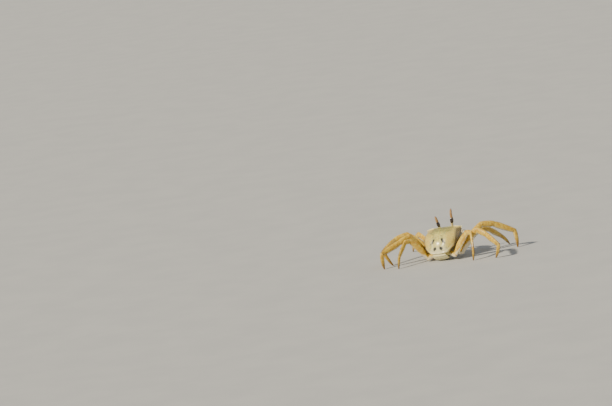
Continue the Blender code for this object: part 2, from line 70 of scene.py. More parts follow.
RIM_OUTLINE = [(0.0, 22.0), (0.12, 21.6), (0.22, 19.6), (0.5, 19.0), (0.77, 18.2), (0.9, 17.2),
               (0.95, 12.0), (0.99, 6.0), (0.97, 0.0), (0.85, -7.0), (0.72, -13.0), (0.55, -18.0),
               (0.34, -21.0), (0.0, -22.0)]
SPLIT_OUTLINE = [(0.0, 16.6), (0.36, 16.6), (0.7, 15.2), (0.86, 12.0), (0.88, 6.0), (0.8, -2.0),
                 (0.66, -9.5), (0.45, -16.0), (0.22, -19.4), (0.0, -20.0)]
FLANK_OUTLINE = [(0.0, 16.0), (0.36, 16.0), (0.58, 13.6), (0.64, 8.0), (0.63, 0.0), (0.56, -8.0),
                 (0.42, -14.0), (0.22, -17.4), (0.0, -18.0)]
BELLY_OUTLINE = [(0.0, 12.0), (0.26, 11.0), (0.38, 6.0), (0.4, 0.0), (0.36, -8.0), (0.26, -13.0),
                 (0.12, -15.2), (0.0, -15.6)]
MIDLINE_HEIGHTS = [(-22.0, -2.0), (-17.5, 5.0), (-10.0, 10.6), (-2.0, 12.8), (6.0, 12.6),
                   (14.0, 10.4), (22.0, 6.0)]
EDGE_HEIGHTS = [(-22.0, -2.0), (-13.0, 0.6), (0.0, 3.6), (10.0, 4.8), (17.4, 5.2), (22.0, 6.0)]

# Legs, as in the solids
LEG_ROOTS = {2: (21.5, 10.0, -12.0), 3: (23.0, 1.0, -12.5), 4: (23.0, -8.0, -12.0),
             5: (17.5, -17.0, -9.5)}
COXA_ROOTS = {2: (9.0, 7.0, -9.5), 3: (9.0, 0.5, -9.5), 4: (8.5, -6.0, -9.5), 5: (7.5, -10.5, -7.6)}
LEG_LENGTHS = {2: (30.0, 11.5, 22.5, 17.5), 3: (35.0, 15.0, 27.5, 20.5),
               4: (33.5, 13.5, 26.5, 18.5), 5: (31.5, 7.0, 19.5, 15.5)}
LEG_GIRTHS = {2: 0.88, 3: 1.0, 4: 1.0, 5: 0.8}
STANCES = {
    ("left", 2): (37.5, 27, -26, -42, 3, 16),
    ("left", 3): (-12, 42, -15, -112, -18, -56),
    ("left", 4): (-44, 54.5, -21, -92, 0, -4),
    ("left", 5): (-38, 51, 0, -73, 0, -38),
    ("right", 2): (53.5, 25, -23, -45, 1, 15),
    ("right", 3): (44, 41.5, -8, -87, -2, -8),
    ("right", 4): (1, 48.5, -24, -119, 1, -34),
    ("right", 5): (2, 56, -3, -93, -5, -60),
}
PARTS = ("merus", "carpus", "propodus", "dactylus")
SECTIONS = {
    "base": [(0.0, 8.4, 8.0), (0.3, 8.3, 7.9), (0.42, 6.9, 6.6), (0.52, 7.3, 6.6), (0.86, 7.0, 6.0),
             (1.0, 6.4, 5.4)],
    "merus": [(0.0, 6.0, 4.8), (0.16, 6.8, 4.6), (0.45, 9.2, 4.6), (0.8, 8.2, 4.4), (1.0, 6.8, 4.4)],
    "carpus": [(0.0, 6.2, 4.0), (0.35, 7.2, 4.6), (0.75, 7.4, 4.7), (1.0, 6.6, 4.2)],
    "propodus": [(0.0, 6.0, 3.6), (0.12, 6.8, 3.9), (0.3, 7.2, 4.0), (0.6, 6.6, 3.7), (0.85, 5.6, 3.4),
                 (1.0, 4.8, 3.3)],
    "dactylus": [(0.0, 4.5, 3.2), (0.2, 4.8, 3.4), (0.6, 3.8, 2.8), (0.88, 2.4, 2.0), (1.0, 1.3, 1.3)],
    "claw_arm": [(0.0, 5.6, 5.2), (0.5, 7.4, 6.4), (0.85, 7.4, 6.2), (1.0, 6.4, 5.6)],
    "claw_wrist": [(0.0, 6.0, 5.2), (0.34, 8.0, 7.0), (0.68, 8.0, 7.0), (1.0, 6.8, 5.6)],
}
ARCHES = {"merus": 0.8, "dactylus": 0.7}

# Eyes, as in the solids
EYE_ROOT = (4.6, 18.6, 1.6)
EYE_ELBOWS = {"left": (7.4, 21.0, 5.2), "right": (7.7, 22.0, 2.8)}
EYE_LEANS = {"left": (3.4, -3.4, 17.0), "right": (1.0, 0.6, 23.6)}
EYE_LENGTHS = {"left": (2.5, 6.8, 7.0), "right": (6.2, 7.4, 10.4)}

# Claws, as in the solids
CLAW_JOINTS = [(8.0, 11.5, -9.5), (13.2, 17.2, -10.8), (17.4, 25.2, -12.6), (14.8, 32.2, -12.2)]
CLAW_REACH = {"left": (-7.0, 9.0, -15.0), "right": (-11.0, 8.0, -14.0)}
CLAW_LENGTHS = {"left": 24.0, "right": 29.0}
CLAW_GIRTHS = {"left": 0.8, "right": 1.0}
FINGER_ROOT = (0.515, 3.8)
FINGER_TIP = (0.98, 0.6)
FINGER_ARCH = 2.6

# Abdomen: forward, up and half-width of its path, which starts just under the shell's rear edge
ABDOMEN_PATH = [(-20.6, -2.6, 7.6), (-19.8, -6.6, 9.4), (-17.0, -11.2, 9.2), (-9.0, -12.3, 7.6),
                (0.0, -13.2, 5.4), (7.0, -13.8, 2.6)]
ABDOMEN_THICKNESS = 1.5
ABDOMEN_PLATES = (0.0, 0.07, 0.15, 0.29, 0.45, 0.62, 0.8, 1.0)

UP = np.array((0.0, 0.0, 1.0))


def curve(points, where):
    """Read a smooth curve that runs through the points, for one place or for many."""
    table = np.asarray(points, float)
    xs, ys = table[:, 0], table[:, 1]
    order = np.arange(len(xs))
    low = np.maximum(order - 1, 0)
    high = np.minimum(order + 1, len(xs) - 1)
    slopes = (ys[high] - ys[low]) / (xs[high] - xs[low])
    place = np.clip(np.asarray(where, float), xs[0], xs[-1])
    index = np.clip(np.searchsorted(xs, place, side="right") - 1, 0, len(xs) - 2)
    span = xs[index + 1] - xs[index]
    t = (place - xs[index]) / span
    rise = ys[index] * (2 * t ** 3 - 3 * t ** 2 + 1) + ys[index + 1] * (3 * t ** 2 - 2 * t ** 3)
    bend = slopes[index] * (t ** 3 - 2 * t ** 2 + t) + slopes[index + 1] * (t ** 3 - t ** 2)
    return rise + span * bend


def smooth(low, high, value):
    """Rise gently from 0 at the low value to 1 at the high one."""
    t = np.clip((value - low) / (high - low), 0.0, 1.0)
    return t * t * (3 - 2 * t)


def hump(distance, width):
    """A rounded bump of height 1 and the given half-width."""
    return np.exp(-(distance / width) ** 2)


def unit(vectors):
    """One vector or many, scaled to length 1."""
    vectors = np.asarray(vectors, float)
    return vectors / np.linalg.norm(vectors, axis=-1, keepdims=True)


def ramp(count):
    """Even shares of the way from 0 to 1."""
    return np.linspace(0, 1, count)


def circle(count):
    """Even angles once round a circle."""
    return np.linspace(0.0, 2 * math.pi, count, endpoint=False)


def even_path(points, count, axes=3):
    """Columns of a smooth path through the points, at even steps of its length in the first axes."""
    points = np.asarray(points, float)
    steps = np.linalg.norm(np.diff(points[:, :axes], axis=0), axis=1)
    lengths = np.concatenate(([0.0], np.cumsum(steps)))
    where = np.linspace(0.0, lengths[-1], count)
    return [curve(np.column_stack((lengths, column)), where) for column in points.T]


def outline(half, count):
    """Sample a half outline evenly by length and mirror it; returns x and forward."""
    corners = [(share * SHELL_WIDTH / 2, forward) for share, forward in half]
    x, forward = even_path(corners, count // 2 + 1)
    return np.concatenate((x, -x[-2:0:-1])), np.concatenate((forward, forward[-2:0:-1]))


def placing():
    """How far the solids' frame was moved to stand centred over the origin."""
    lowest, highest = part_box("carapace")
    forward, up = REAR_POINT
    rear = forward * math.cos(BODY_PITCH) + up * math.sin(BODY_PITCH)
    forward, up = WIDEST_POINT
    lean = (forward * math.sin(BODY_PITCH) + up * math.cos(BODY_PITCH)) * math.sin(BODY_ROLL)
    return np.array(((lowest[0] + highest[0]) / 2 / MM - lean, highest[1] / MM - rear, 0.0))


SHIFT = placing()
BODY_TURN = np.array(Matrix.Rotation(BODY_ROLL, 3, "Y") @ Matrix.Rotation(-BODY_PITCH, 3, "X"))


def body_way(x, forward, up):
    """A direction in the body's axes, turned into the row's frame."""
    local = np.stack(np.broadcast_arrays(x, -np.asarray(forward, float), up), axis=-1)
    return local @ BODY_TURN.T


def body(x, forward, up):
    """Points in the body's axes, placed in the row's frame."""
    return body_way(x, forward, up) + SHIFT + (0.0, 0.0, BODY_HEIGHT)


def placed(sign, point):
    """A point of the body's left side, placed in the row's frame, mirrored where the sign is -1."""
    x, forward, up = point
    return body(sign * x, forward, up)


class Skin:
    """Points, faces and painted values of a piece while it is made."""

    def __init__(self):
        self.points = []
        self.faces = []
        self.values = []
        self.count = 0

    def add(self, points, faces, **values):
        """Add points with their faces; the faces may be quads, triangles or both."""
        for block in faces:
            self.faces.append(block + self.count)
        self.points.append(points)
        self.values.append((len(points), values))
        self.count += len(points)

    def grid(self, points, **values):
        """Add a grid of rows and columns, closed round its columns, with both ends capped."""
        rows, columns = points.shape[:2]
        number = np.arange(rows * columns).reshape(rows, columns)
        following = np.roll(number, -1, axis=1)
        quads = np.stack((number[:-1], following[:-1], following[1:], number[1:]), axis=-1)
        spots = points.reshape(-1, 3)
        painted = {name: np.broadcast_to(value, (rows, columns)).ravel() for name, value in values.items()}
        faces = [quads.reshape(-1, 4)]
        for row, turned in ((0, True), (rows - 1, False)):
            apex = len(spots)
            spots = np.vstack((spots, points[row].mean(axis=0)))
            painted = {name: np.append(value, value[row * columns]) for name, value in painted.items()}
            ring, after = number[row], following[row]
            pair = (after, ring) if turned else (ring, after)
            faces.append(np.stack((*pair, np.full(columns, apex)), axis=-1))
        if signed_volume(spots, faces) < 0:
            faces = [block[:, ::-1] for block in faces]
        self.add(spots, faces, **painted)
        return self

    def beads(self, centres, sizes, template, tall=1.0, normals=None, **values):
        """Scatter copies of a small closed shape, each stretched along its normal where asked."""
        shape, faces = template
        centres = np.asarray(centres, float).reshape(-1, 3)
        spots = shape[None] * np.broadcast_to(sizes, len(centres))[:, None, None]
        if normals is not None:
            normals = unit(normals)
            along = np.einsum("ijk,ik->ij", spots, normals)
            spots = spots + (tall - 1.0) * along[:, :, None] * normals[:, None, :]
        spots = spots + centres[:, None]
        number = np.arange(len(centres))[:, None, None] * len(shape)
        self.add(spots.reshape(-1, 3), [(faces[None] + number).reshape(-1, faces.shape[1])], **values)


def signed_volume(points, faces):
    """Six times the volume that the faces enclose, negative where they are inside out."""
    total = 0.0
    for block in faces:
        for step in range(1, block.shape[1] - 1):
            first, second, third = points[block[:, 0]], points[block[:, step]], points[block[:, step + 1]]
            total += np.einsum("ij,ij->", first, np.cross(second, third))
    return total


def ball(levels):
    """A small icosphere of radius 1, as points and triangles."""
    mesh = bpy.data.meshes.new("ball")
    shape = bmesh.new()
    bmesh.ops.create_icosphere(shape, subdivisions=levels, radius=1.0)
    shape.to_mesh(mesh)
    shape.free()
    points = np.array([vertex.co[:] for vertex in mesh.vertices])
    faces = np.array([polygon.vertices[:] for polygon in mesh.polygons])
    bpy.data.meshes.remove(mesh)
    return points, faces


BEAD = ball(1)
FINE_BEAD = ball(2)


def make_piece(name, skin, material, nodes=(), patches=None):
    """Turn a skin into an object that rides on the frame and stands for the named solids."""
    points = np.vstack(skin.points) * MM
    faces = [face for block in skin.faces for face in block.tolist()]
    data = bpy.data.meshes.new(name)
    data.from_pydata(points.tolist(), [], faces)
    names = sorted({key for _, values in skin.values for key in values})
    for key in names:
        painted = np.concatenate([np.broadcast_to(values.get(key, 0.0), size)
                                  for size, values in skin.values])
        layer = data.attributes.new(key, "FLOAT", "POINT")
        layer.data.foreach_set("value", painted.astype(np.float32))
    if patches is not None:
        layer = data.uv_layers.new(name="OFBake")
        corners = np.empty(len(data.loops), np.int32)
        data.loops.foreach_get("vertex_index", corners)
        layer.data.foreach_set("uv", patches[corners].astype(np.float32).ravel())
    data.materials.append(material)
    data.shade_smooth()
    piece = bpy.data.objects.new(name, data)
    bpy.context.scene.collection.objects.link(piece)
    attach(piece, "root")
    if nodes:
        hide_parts(*nodes)


# The shell: the back, its edge and the walls down to the suture

# Rows and columns of the shell's skin, and where the ledge below the eyes runs down its wall
SHELL_COLUMNS = 320
BACK_ROWS = 96
ROW_CROWDING = 0.8
WALL_ROWS = 34
LEDGE_SHARE = 0.84

# Lobes of the front edge: place and breadth as shares of the half width, reach sideways and forward
FRONT_BAND = (15.0, 17.0)
EDGE_LOBES = {"outer tooth": (0.885, 0.045, 1.7, 1.3), "eye socket": (0.62, 0.16, 0.0, -0.6),
              "brow": (0.36, 0.1, 0.0, 0.35)}

# Grooves and marks of the back, as paths on its left half
CERVICAL = [(17.5, 10.5), (14.0, 6.0), (9.5, 1.5), (6.6, -1.0), (5.0, -4.5)]
BRANCHIAL = [(5.0, -4.5), (5.5, -8.0), (6.8, -11.5), (5.4, -15.5), (4.0, -19.0)]
CROSSBAR = [(0.0, -7.4), (2.6, -6.8), (5.2, -7.6)]
ORBITAL = [(4.4, 17.6), (8.0, 15.6), (13.0, 14.6), (18.0, 14.4)]
UPPER_MARK = [(5.3, -9.4), (6.6, -12.0)]
UPPER_SPECK = [(8.4, -13.0), (8.9, -13.4)]
LOWER_MARK = [(3.1, -18.0), (5.0, -18.3)]
HALO = [(4.9, -7.5), (8.8, -14.2)]
FAINT_MARKS = ([(3.2, -4.2), (3.5, -5.2)], [(7.0, 1.5), (7.6, -0.5)], [(10.5, -17.2), (10.8, -17.4)])
SIDE_CREST = [(-13.0, 17.6), (-10.5, 18.4), (-6.0, 19.3), (-1.5, 19.6), (4.5, 18.9), (10.5, 17.8),
              (14.0, 18.8), (17.3, 21.3)]

# The straight stretch of the edge, and the powers that round the arch of the back
STRAIGHT_EDGE = (-22.0, 17.5)
ARCH_POWERS = (2.6, 0.62)

# Swellings of the back: x, forward, half-width, half-length and height
SWELLINGS = {"stomach": (0.0, 5.0, 7.0, 8.0, 0.5), "heart": (0.0, -13.0, 4.2, 5.0, 0.4),
             "gill dome": (13.0, -6.0, 5.4, 9.0, 0.6), "cheek": (13.5, 10.5, 4.5, 3.0, 0.3)}

# Furrows of the back: path, depth and half-width
FURROWS = ((CERVICAL, 0.5, 1.1), (BRANCHIAL, 0.3, 2.2), (CROSSBAR, 0.25, 1.2), (ORBITAL, 0.35, 1.0),
           (UPPER_MARK, 0.1, 1.2), (LOWER_MARK, 0.1, 1.3))

# The crest along each side: its ridge, the drop past it, and where it fades behind and ahead
CREST_RIDGE = (-1.5, 1.6, 0.25)
CREST_DROP = ((-0.8, 2.6), 0.5)
CREST_BANDS = ((-13.0, -9.0), (19.0, 17.4))
# The band outside the crest, painted as the netted flank and darkened there as painted shade
SHADE_ZONE_BANDS = ((-1.8, 1.2), (-16.5, -11.0), (18.0, 16.6))

# Painted marks and halos: path, strength and half-width
MARKS = ((UPPER_MARK, 1.0, 1.5), (LOWER_MARK, 1.0, 1.3), (UPPER_SPECK, 0.66, 1.1))
HALOS = ((HALO, 1.0, 2.1), (LOWER_MARK, 0.5, 2.2), (CERVICAL, 0.35, 1.8),
         *((path, 0.8, 1.3) for path in FAINT_MARKS))

# Patches of the back: the bands forward and sideways over which each one rises
PATCHES = {"olive": ((-4.0, 6.0), (17.0, 11.0)), "rear": ((-15.5, -19.5), (15.0, 10.0)),
           "tan": ((-19.0, -12.0), (7.5, 12.5)), "corner": ((15.5, 17.0), (12.0, 15.0)),
           "corner ridge": ((15.5, 17.0), (11.0, 15.0))}

# The edge's own forms and paint, by share of the way out from the middle
EDGE_BEAD = (0.985, 0.012, 0.3)
EDGE_GUTTER = (0.945, 0.018, -0.24)
BEAD_START = (3.0, 7.0)
BEAD_FADE = 0.8
CORNER_RIDGE = (0.985, 0.03, 1.1)
RELIEF_START = (0.0, 0.06)
REAR_LIP = (-21.0, 1.3, 0.2)
LIP_SIDE = (14.0, 9.0)
LIP_START = (0.9, 0.98)
EDGE_BAND = (0.955, 0.985)
EDGE_PALENESS = 0.6
# The pale front corners: partly the rim's own pale colour and partly a painted highlight where the corner
# catches the light
CORNER_BAND = (0.93, 0.97)
CORNER_PALENESS_AND_HIGHLIGHT = 1.9

# Walls below the edge: profiles of how far in and how far down they have come
WALL_WAY = [(0.0, 0.0), (0.25, 0.4), (0.6, 0.72), (1.0, 1.0)]
SOCKET_WAY = [(0.0, 0.0), (0.08, 0.6), (0.3, 1.6), (0.56, 1.55), (0.74, 0.4), (0.84, 0.12), (0.9, 0.2),
              (1.0, 0.75)]
WALL_DROP = [(0.0, 0.0), (0.25, 0.15), (1.0, 1.0)]
SOCKET_FRONT = (13.0, 17.5)
SOCKET_SIDE = (22.0, 19.5)
SOCKET_MIDDLE = (4.6, 2.4)
SOCKET_PALENESS = 0.9
SUTURE = (0.97, 0.05, 0.012)
REAR_BAND = (-15.0, -20.5)
FLANK_START = (0.0, 0.08)

# Lower walls and breastplates
LOWER_WALL_ROWS = 40
BELLY_ROWS = 30
SPLIT_OVERLAP = 0.1
WALL_BULGE = 0.035
BELLY_SHRINK = (0.97, 0.03)
BELLY_SWELL = 0.5
BELLY_SWELL_BAND = (1.0, 0.75)
PLATE_CUTS = (10.0, 5.2, -1.0, -7.0)
CUT_SLANT = 0.25
CUT_WIDTH = 0.35
CUT_DEPTH = 0.5
CUT_START = (2.0, 4.0)
MIDDLE_CUT = (0.0, 0.4, 0.35)
PALE_WALL = (0.25, 0.8)
FLANK_WALL = (0.1, 0.75)
FLANK_REAR = (-19.5, -13.0)

# Abdomen: rows, columns, and each plate's lift, section, waist and seam
ABDOMEN_ROWS = 180
ABDOMEN_COLUMNS = 64
ABDOMEN_ENDS = ((-0.02, 0.05), (1.01, 0.95))
ABDOMEN_PALENESS = 0.85
PLATE_LIFT = 0.62
PLATE_STEPS = ((0.3, (0.0, 0.5)), (0.14, (0.6, 0.9)), (-0.1, (0.93, 1.0)))
PLATE_SECTION = (1.25, 0.95, 0.5)
PLATE_WAIST = (0.0, 0.12, 0.05)
PLATE_SEAM = (0.02, 0.07, 1.0)


def back_edge():
    """The shell's edge as x and forward, with teeth and lobes that the solids leave out."""
    x, forward = outline(RIM_OUTLINE, SHELL_COLUMNS)
    share = np.abs(x) / (SHELL_WIDTH / 2)
    front = smooth(*FRONT_BAND, forward)
    outward, onward = 0.0, 0.0
    for place, breadth, sideways, ahead in EDGE_LOBES.values():
        lobe = hump(share - place, breadth) * front
        outward = outward + sideways * lobe
        onward = onward + ahead * lobe
    return x + np.sign(x) * outward, forward + onward


def half_width(forward):
    """Half the shell's width at a distance forward."""
    table = sorted((place, share * SHELL_WIDTH / 2) for share, place in RIM_OUTLINE
                   if STRAIGHT_EDGE[0] < place < STRAIGHT_EDGE[1])
    return np.maximum(curve(table, forward), 1.0)


def back_height(x, forward):
    """Height of the smooth back, arched from its edge up to its middle line."""
    middle = curve(MIDLINE_HEIGHTS, forward)
    edge = curve(EDGE_HEIGHTS, forward)
    share = np.minimum(np.abs(x) / half_width(forward), 1.0)
    return edge + (middle - edge) * (1.0 - share ** ARCH_POWERS[0]) ** ARCH_POWERS[1]


def groove(x, forward, path, width):
    """1 along a path of points on the back's left half, mirrored, and 0 away from it."""
    nearest = np.full(np.shape(x), 1e9)
    side = np.abs(x)
    for (x0, f0), (x1, f1) in zip(path, path[1:]):
        length = (x1 - x0) ** 2 + (f1 - f0) ** 2
        t = np.clip(((side - x0) * (x1 - x0) + (forward - f0) * (f1 - f0)) / length, 0.0, 1.0)
        nearest = np.minimum(nearest, np.hypot(side - x0 - t * (x1 - x0), forward - f0 - t * (f1 - f0)))
    return hump(nearest, width)


def rise_at(place, form):
    """A ridge or gutter whose section has the given middle, half-width and height."""
    middle, width, height = form
    return height * hump(place - middle, width)


def back_relief(x, forward):
    """Swellings and grooves of the back, as a height in millimetres."""
    side = np.abs(x)
    rise = sum(height * hump(np.hypot((side - middle) / half, (forward - place) / reach), 1.0)
               for middle, place, half, reach, height in SWELLINGS.values())
    rise -= sum(depth * groove(x, forward, path, width) for path, depth, width in FURROWS)
    past = side - curve(SIDE_CREST, forward)
    brink, drop = CREST_DROP
    behind, ahead = CREST_BANDS
    crest = rise_at(past, CREST_RIDGE) - drop * smooth(*brink, past)
    return rise + crest * smooth(*behind, forward) * smooth(*ahead, forward)


def outer_shade_zone(x, forward):
    """1 outside the crest that runs along each side of the back, 0 within it: the band painted as the
    netted flank, darkened there as painted shade.
    """
    past = np.abs(x) - curve(SIDE_CREST, forward)
    beyond, behind, ahead = SHADE_ZONE_BANDS
    return smooth(*beyond, past) * smooth(*behind, forward) * smooth(*ahead, forward)


def shell_paint(x, forward):
    """What is painted on the back: dark marks and their greyish halos."""
    return [np.max([strength * groove(x, forward, path, width) for path, strength, width in table], axis=0)
            for table in (MARKS, HALOS)]


def patch(name, x, forward):
    """1 within a named patch of the back, 0 away from it."""
    onward, sideways = PATCHES[name]
    return smooth(*onward, forward) * smooth(*sideways, np.abs(x))


def build_shell(material):
    """The upper shell with its walls, one closed skin."""
    x, forward = back_edge()
    share = np.linspace(0.0, 1.0, BACK_ROWS + 1)[1:, None] ** ROW_CROWDING
    gx, gf = x * share, forward * share
    side = np.abs(gx)
    shade_zone = outer_shade_zone(gx, gf)
    bead = (rise_at(share, EDGE_BEAD) + rise_at(share, EDGE_GUTTER)) * smooth(*BEAD_START, side)
    ridge = bead * (1 - BEAD_FADE * shade_zone) + rise_at(share, CORNER_RIDGE) * patch("corner ridge", gx, gf)
    height = back_height(gx, gf) + back_relief(gx, gf) * smooth(*RELIEF_START, share) + ridge
    lip = rise_at(gf, REAR_LIP) * smooth(*LIP_SIDE, side) * smooth(*LIP_START, share)
    edge = smooth(*EDGE_BAND, share)
    # Pale front corners: the rim's own paleness with a painted highlight on top
    corner = CORNER_PALENESS_AND_HIGHLIGHT * smooth(*CORNER_BAND, share) * patch("corner", gx, gf)
    edge_pale_and_highlight = EDGE_PALENESS * np.maximum(edge * (1 - shade_zone), corner)
    walls, wall_flank_shade, wall_pale = shell_walls(x, forward, height[-1])
    mark, halo = shell_paint(gx, gf)
    painted = {"tan": patch("tan", gx, gf), "mark": mark, "halo": halo,
               "olive": patch("olive", gx, gf) * (1 - edge)}
    painted = {name: np.vstack((value, np.zeros_like(wall_flank_shade))) for name, value in painted.items()}
    painted["pale"] = np.vstack((np.maximum(patch("rear", gx, gf), edge_pale_and_highlight), wall_pale))
    # Outside the crest and down the walls: the netted flank, its darkness partly painted shade
    painted["flank"] = np.vstack((shade_zone, wall_flank_shade))
    skin = Skin().grid(np.vstack((body(gx, gf, height + lip), walls)), **painted)
    make_piece("shell", skin, material, ["carapace"])


def shell_walls(x, forward, edge):
    """The walls below the edge, undercut at the front for the eye sockets, and their paint."""
    low_x, low_forward = outline(SPLIT_OUTLINE, SHELL_COLUMNS)
    share = np.linspace(0.0, 1.0, WALL_ROWS + 1)[1:, None]
    side = np.abs(x)
    front = smooth(*SOCKET_FRONT, forward) * smooth(*SOCKET_SIDE, side)
    way = curve(WALL_WAY, share)
    way = way + (curve(SOCKET_WAY, share) - way) * front * (1 - smooth(*SOCKET_MIDDLE, side))
    gx = (x + (low_x - x) * way) * (1 - rise_at(share, SUTURE) * (1 - front))
    gf = forward + (low_forward - forward) * way
    up = edge + (SPLIT_LEVEL - edge) * curve(WALL_DROP, share)
    rear = smooth(*REAR_BAND, forward)
    # The walls carry the netted flank paint, its darkness partly painted shade, paler at the eye sockets
    # and the rear
    flank = smooth(*FLANK_START, share) * (1 - SOCKET_PALENESS * front) * (1 - rear)
    return body(gx, gf, up), flank, np.broadcast_to(rear, flank.shape)


def build_underbody(material):
    """The lower walls and the breastplates with their grooves."""
    halves = (SPLIT_OUTLINE, FLANK_OUTLINE, BELLY_OUTLINE)
    outlines = np.array([outline(half, SHELL_COLUMNS) for half in halves])
    levels = (SPLIT_LEVEL + SPLIT_OVERLAP, FLANK_LEVEL, BELLY_LEVEL)
    front = BELLY_OUTLINE[0][1]
    share = np.linspace(0.0, 1.0, LOWER_WALL_ROWS)
    rows = []
    for step in share:
        blend = [curve([(place / 2, place == peak) for place in range(3)], step) for peak in range(3)]
        gx, gf = np.tensordot(blend, outlines, 1)
        bulge = 1 + WALL_BULGE * math.sin(math.pi * step)
        slope = BELLY_SLOPE * (front - gf) * smooth(0.5, 1.0, step)
        rows.append(body(gx * bulge, gf * bulge, np.dot(blend, levels) + slope))
    for shrink in np.linspace(*BELLY_SHRINK, BELLY_ROWS):
        gx, gf = outlines[2] * shrink
        side = np.abs(gx)
        cuts = sum(hump(gf + CUT_SLANT * side - place, CUT_WIDTH) for place in PLATE_CUTS)
        sink = CUT_DEPTH * cuts * smooth(*CUT_START, side) + rise_at(gx, MIDDLE_CUT)
        swell = BELLY_SWELL * smooth(*BELLY_SWELL_BAND, shrink)
        rows.append(body(gx, gf, BELLY_LEVEL + BELLY_SLOPE * (front - gf) + sink - swell))
    pale = np.concatenate((smooth(*PALE_WALL, share), np.ones(BELLY_ROWS)))
    # The top of the lower walls carries the same netted flank paint, its darkness partly painted shade
    flank = np.concatenate((1 - smooth(*FLANK_WALL, share), np.zeros(BELLY_ROWS)))
    flank = flank[:, None] * smooth(*FLANK_REAR, outlines[0][1])
    skin = Skin().grid(np.array(rows), pale=pale[:, None], flank=flank)
    make_piece("underbody", skin, material, ["sternum"])


def build_abdomen(material):
    """The narrow abdomen: seven overlapping plates folded round the rear and under the belly."""
    forward, up, half = even_path(ABDOMEN_PATH, ABDOMEN_ROWS, axes=2)
    heading = np.stack((np.gradient(forward), np.gradient(up)))
    heading /= np.linalg.norm(heading, axis=0)
    share = ramp(ABDOMEN_ROWS)
    ends = np.array(ABDOMEN_PLATES)
    number = np.clip(np.searchsorted(ends, share, side="right") - 1, 0, len(ends) - 2)
    local = (share - ends[number]) / (ends[number + 1] - ends[number])
    lift = PLATE_LIFT + sum(rise * smooth(*band, local) for rise, band in PLATE_STEPS)
    for band in ABDOMEN_ENDS:
        lift = lift * smooth(*band, share)
    angle = circle(ABDOMEN_COLUMNS)
    crown, power, hollow = PLATE_SECTION
    height = np.abs(np.sin(angle))
    depth = np.where(np.sin(angle) > 0, crown * height ** power, -hollow * height)
    depth = ABDOMEN_THICKNESS * lift[:, None] * depth
    width = (half * (1.0 - rise_at(local, PLATE_WAIST)))[:, None] * np.cos(angle)
    rise, onward = heading[:, :, None] * depth
    skin = Skin().grid(body(width, forward[:, None] + onward, up[:, None] - rise),
                       pale=ABDOMEN_PALENESS, seam=rise_at(local, PLATE_SEAM)[:, None])
    make_piece("abdomen_plates", skin, material, ["abdomen"])


# Limbs

RIGHT_ANGLE = math.pi / 2
SIGNS = {"left": 1.0, "right": -1.0}
CAP_ROWS = 8
TUBE_TIPS = (0.12, 0.16)
PIPE_TIP = 0.1
TOP_POWER = 1.6


def segment_axes(along, hint):
    """Axes of a segment: along it, across it, and upwards, nearest to the hint."""
    along = unit(along)
    across = unit(np.cross(hint, along))
    return np.array((along, across, np.cross(along, across)))


def tube(start, axes, length, sections, girth=1.0, arch=0.0, rows=60, columns=40, ends=(1.0, 1.0),
         top=0.25, keels=(), flat=1.0):
    """A limb's surface: a keeled section along its axis with rounded ends.

    ends says how far each rounded end reaches, as a share of half the height there. keels holds
    the angle, height and width of each lengthwise ridge. The share of the way along comes back
    with the surface, and how far each column looks down.
    """
    heights, widths = [[(row[0], row[part]) for row in sections] for part in (1, 2)]
    turn = np.linspace(0.0, RIGHT_ANGLE, CAP_ROWS + 1)[:-1]
    near, far = turn + TUBE_TIPS[0], turn + TUBE_TIPS[1]
    first, last = [sections[end][1] / 2 * girth * reach for end, reach in zip((0, -1), ends)]
    x = np.concatenate((-first * np.cos(near), np.linspace(0.0, length, rows), length + last * np.sin(far)))
    scale = np.concatenate((np.sin(near), np.ones(rows), np.cos(far)))
    share = np.clip(x / length, 0.0, 1.0)
    high = curve(heights, share) * girth / 2 * scale
    wide = curve(widths, share) * girth / 2 * scale
    angle = circle(columns)
    up, side = np.sin(angle), np.cos(angle)
    narrow = 1 - top * np.maximum(up, 0.0) ** TOP_POWER
    swell = 1 + sum(rise * hump(np.abs(np.angle(np.exp(1j * (angle - place)))), width)
                    for place, rise, width in keels)
    y = wide[:, None] * np.sign(side) * np.abs(side) ** flat * narrow * swell
    z = high[:, None] * (up * swell) + (arch * 4 * share * (1 - share))[:, None]
    spots = x[:, None, None] * axes[0] + y[..., None] * axes[1] + z[..., None] * axes[2]
    return spots + start, share[:, None], -up[None]


def pipe(path, hint, heights, flat=1.0, columns=36, top=0.0):
    """A surface round a bent path with rounded ends; flat is its width as a share of its height.

    The share of the way along comes back with it.
    """
    way = unit(np.gradient(path, axis=0))
    across = unit(np.cross(hint, way))
    upward = np.cross(way, across)
    turn = np.linspace(PIPE_TIP, RIGHT_ANGLE, CAP_ROWS)[:-1]
    reach = np.cos(turn)[:, None]
    spots = np.vstack((path[0] - reach * way[0] * heights[0] / 2, path,
                       path[-1] + reach[::-1] * way[-1] * heights[-1] / 2))
    row = np.clip(np.arange(len(spots)) - len(turn), 0, len(path) - 1)
    high = heights[row] / 2 * np.concatenate((np.sin(turn), np.ones(len(path)), np.sin(turn[::-1])))
    angle = circle(columns)
    narrow = 1 - top * np.maximum(np.sin(angle), 0.0) ** TOP_POWER
    y = flat * high[:, None] * np.cos(angle) * narrow
    z = high[:, None] * np.sin(angle)
    surface = spots[:, None] + y[..., None] * across[row][:, None] + z[..., None] * upward[row][:, None]
    return surface, np.linspace(0, 1, len(spots))[:, None]


def straight(start, way, reach, count):
    """A straight path along a way, between the given shares of its length."""
    return start + way * np.linspace(*reach, count)[:, None]


def uneven(form, count):
    """Random sizes, from a size with the least and the most share of it."""
    size, least, most = form
    return size * rng.uniform(least, most, count)


def path_through(points, count):
    """A smooth path through a few points."""
    return np.stack(even_path(points, count), axis=1)


# How much of a leg's turn each segment has made
TURN_SHARES = (0.0, 0.5, 1.0, 1.0)


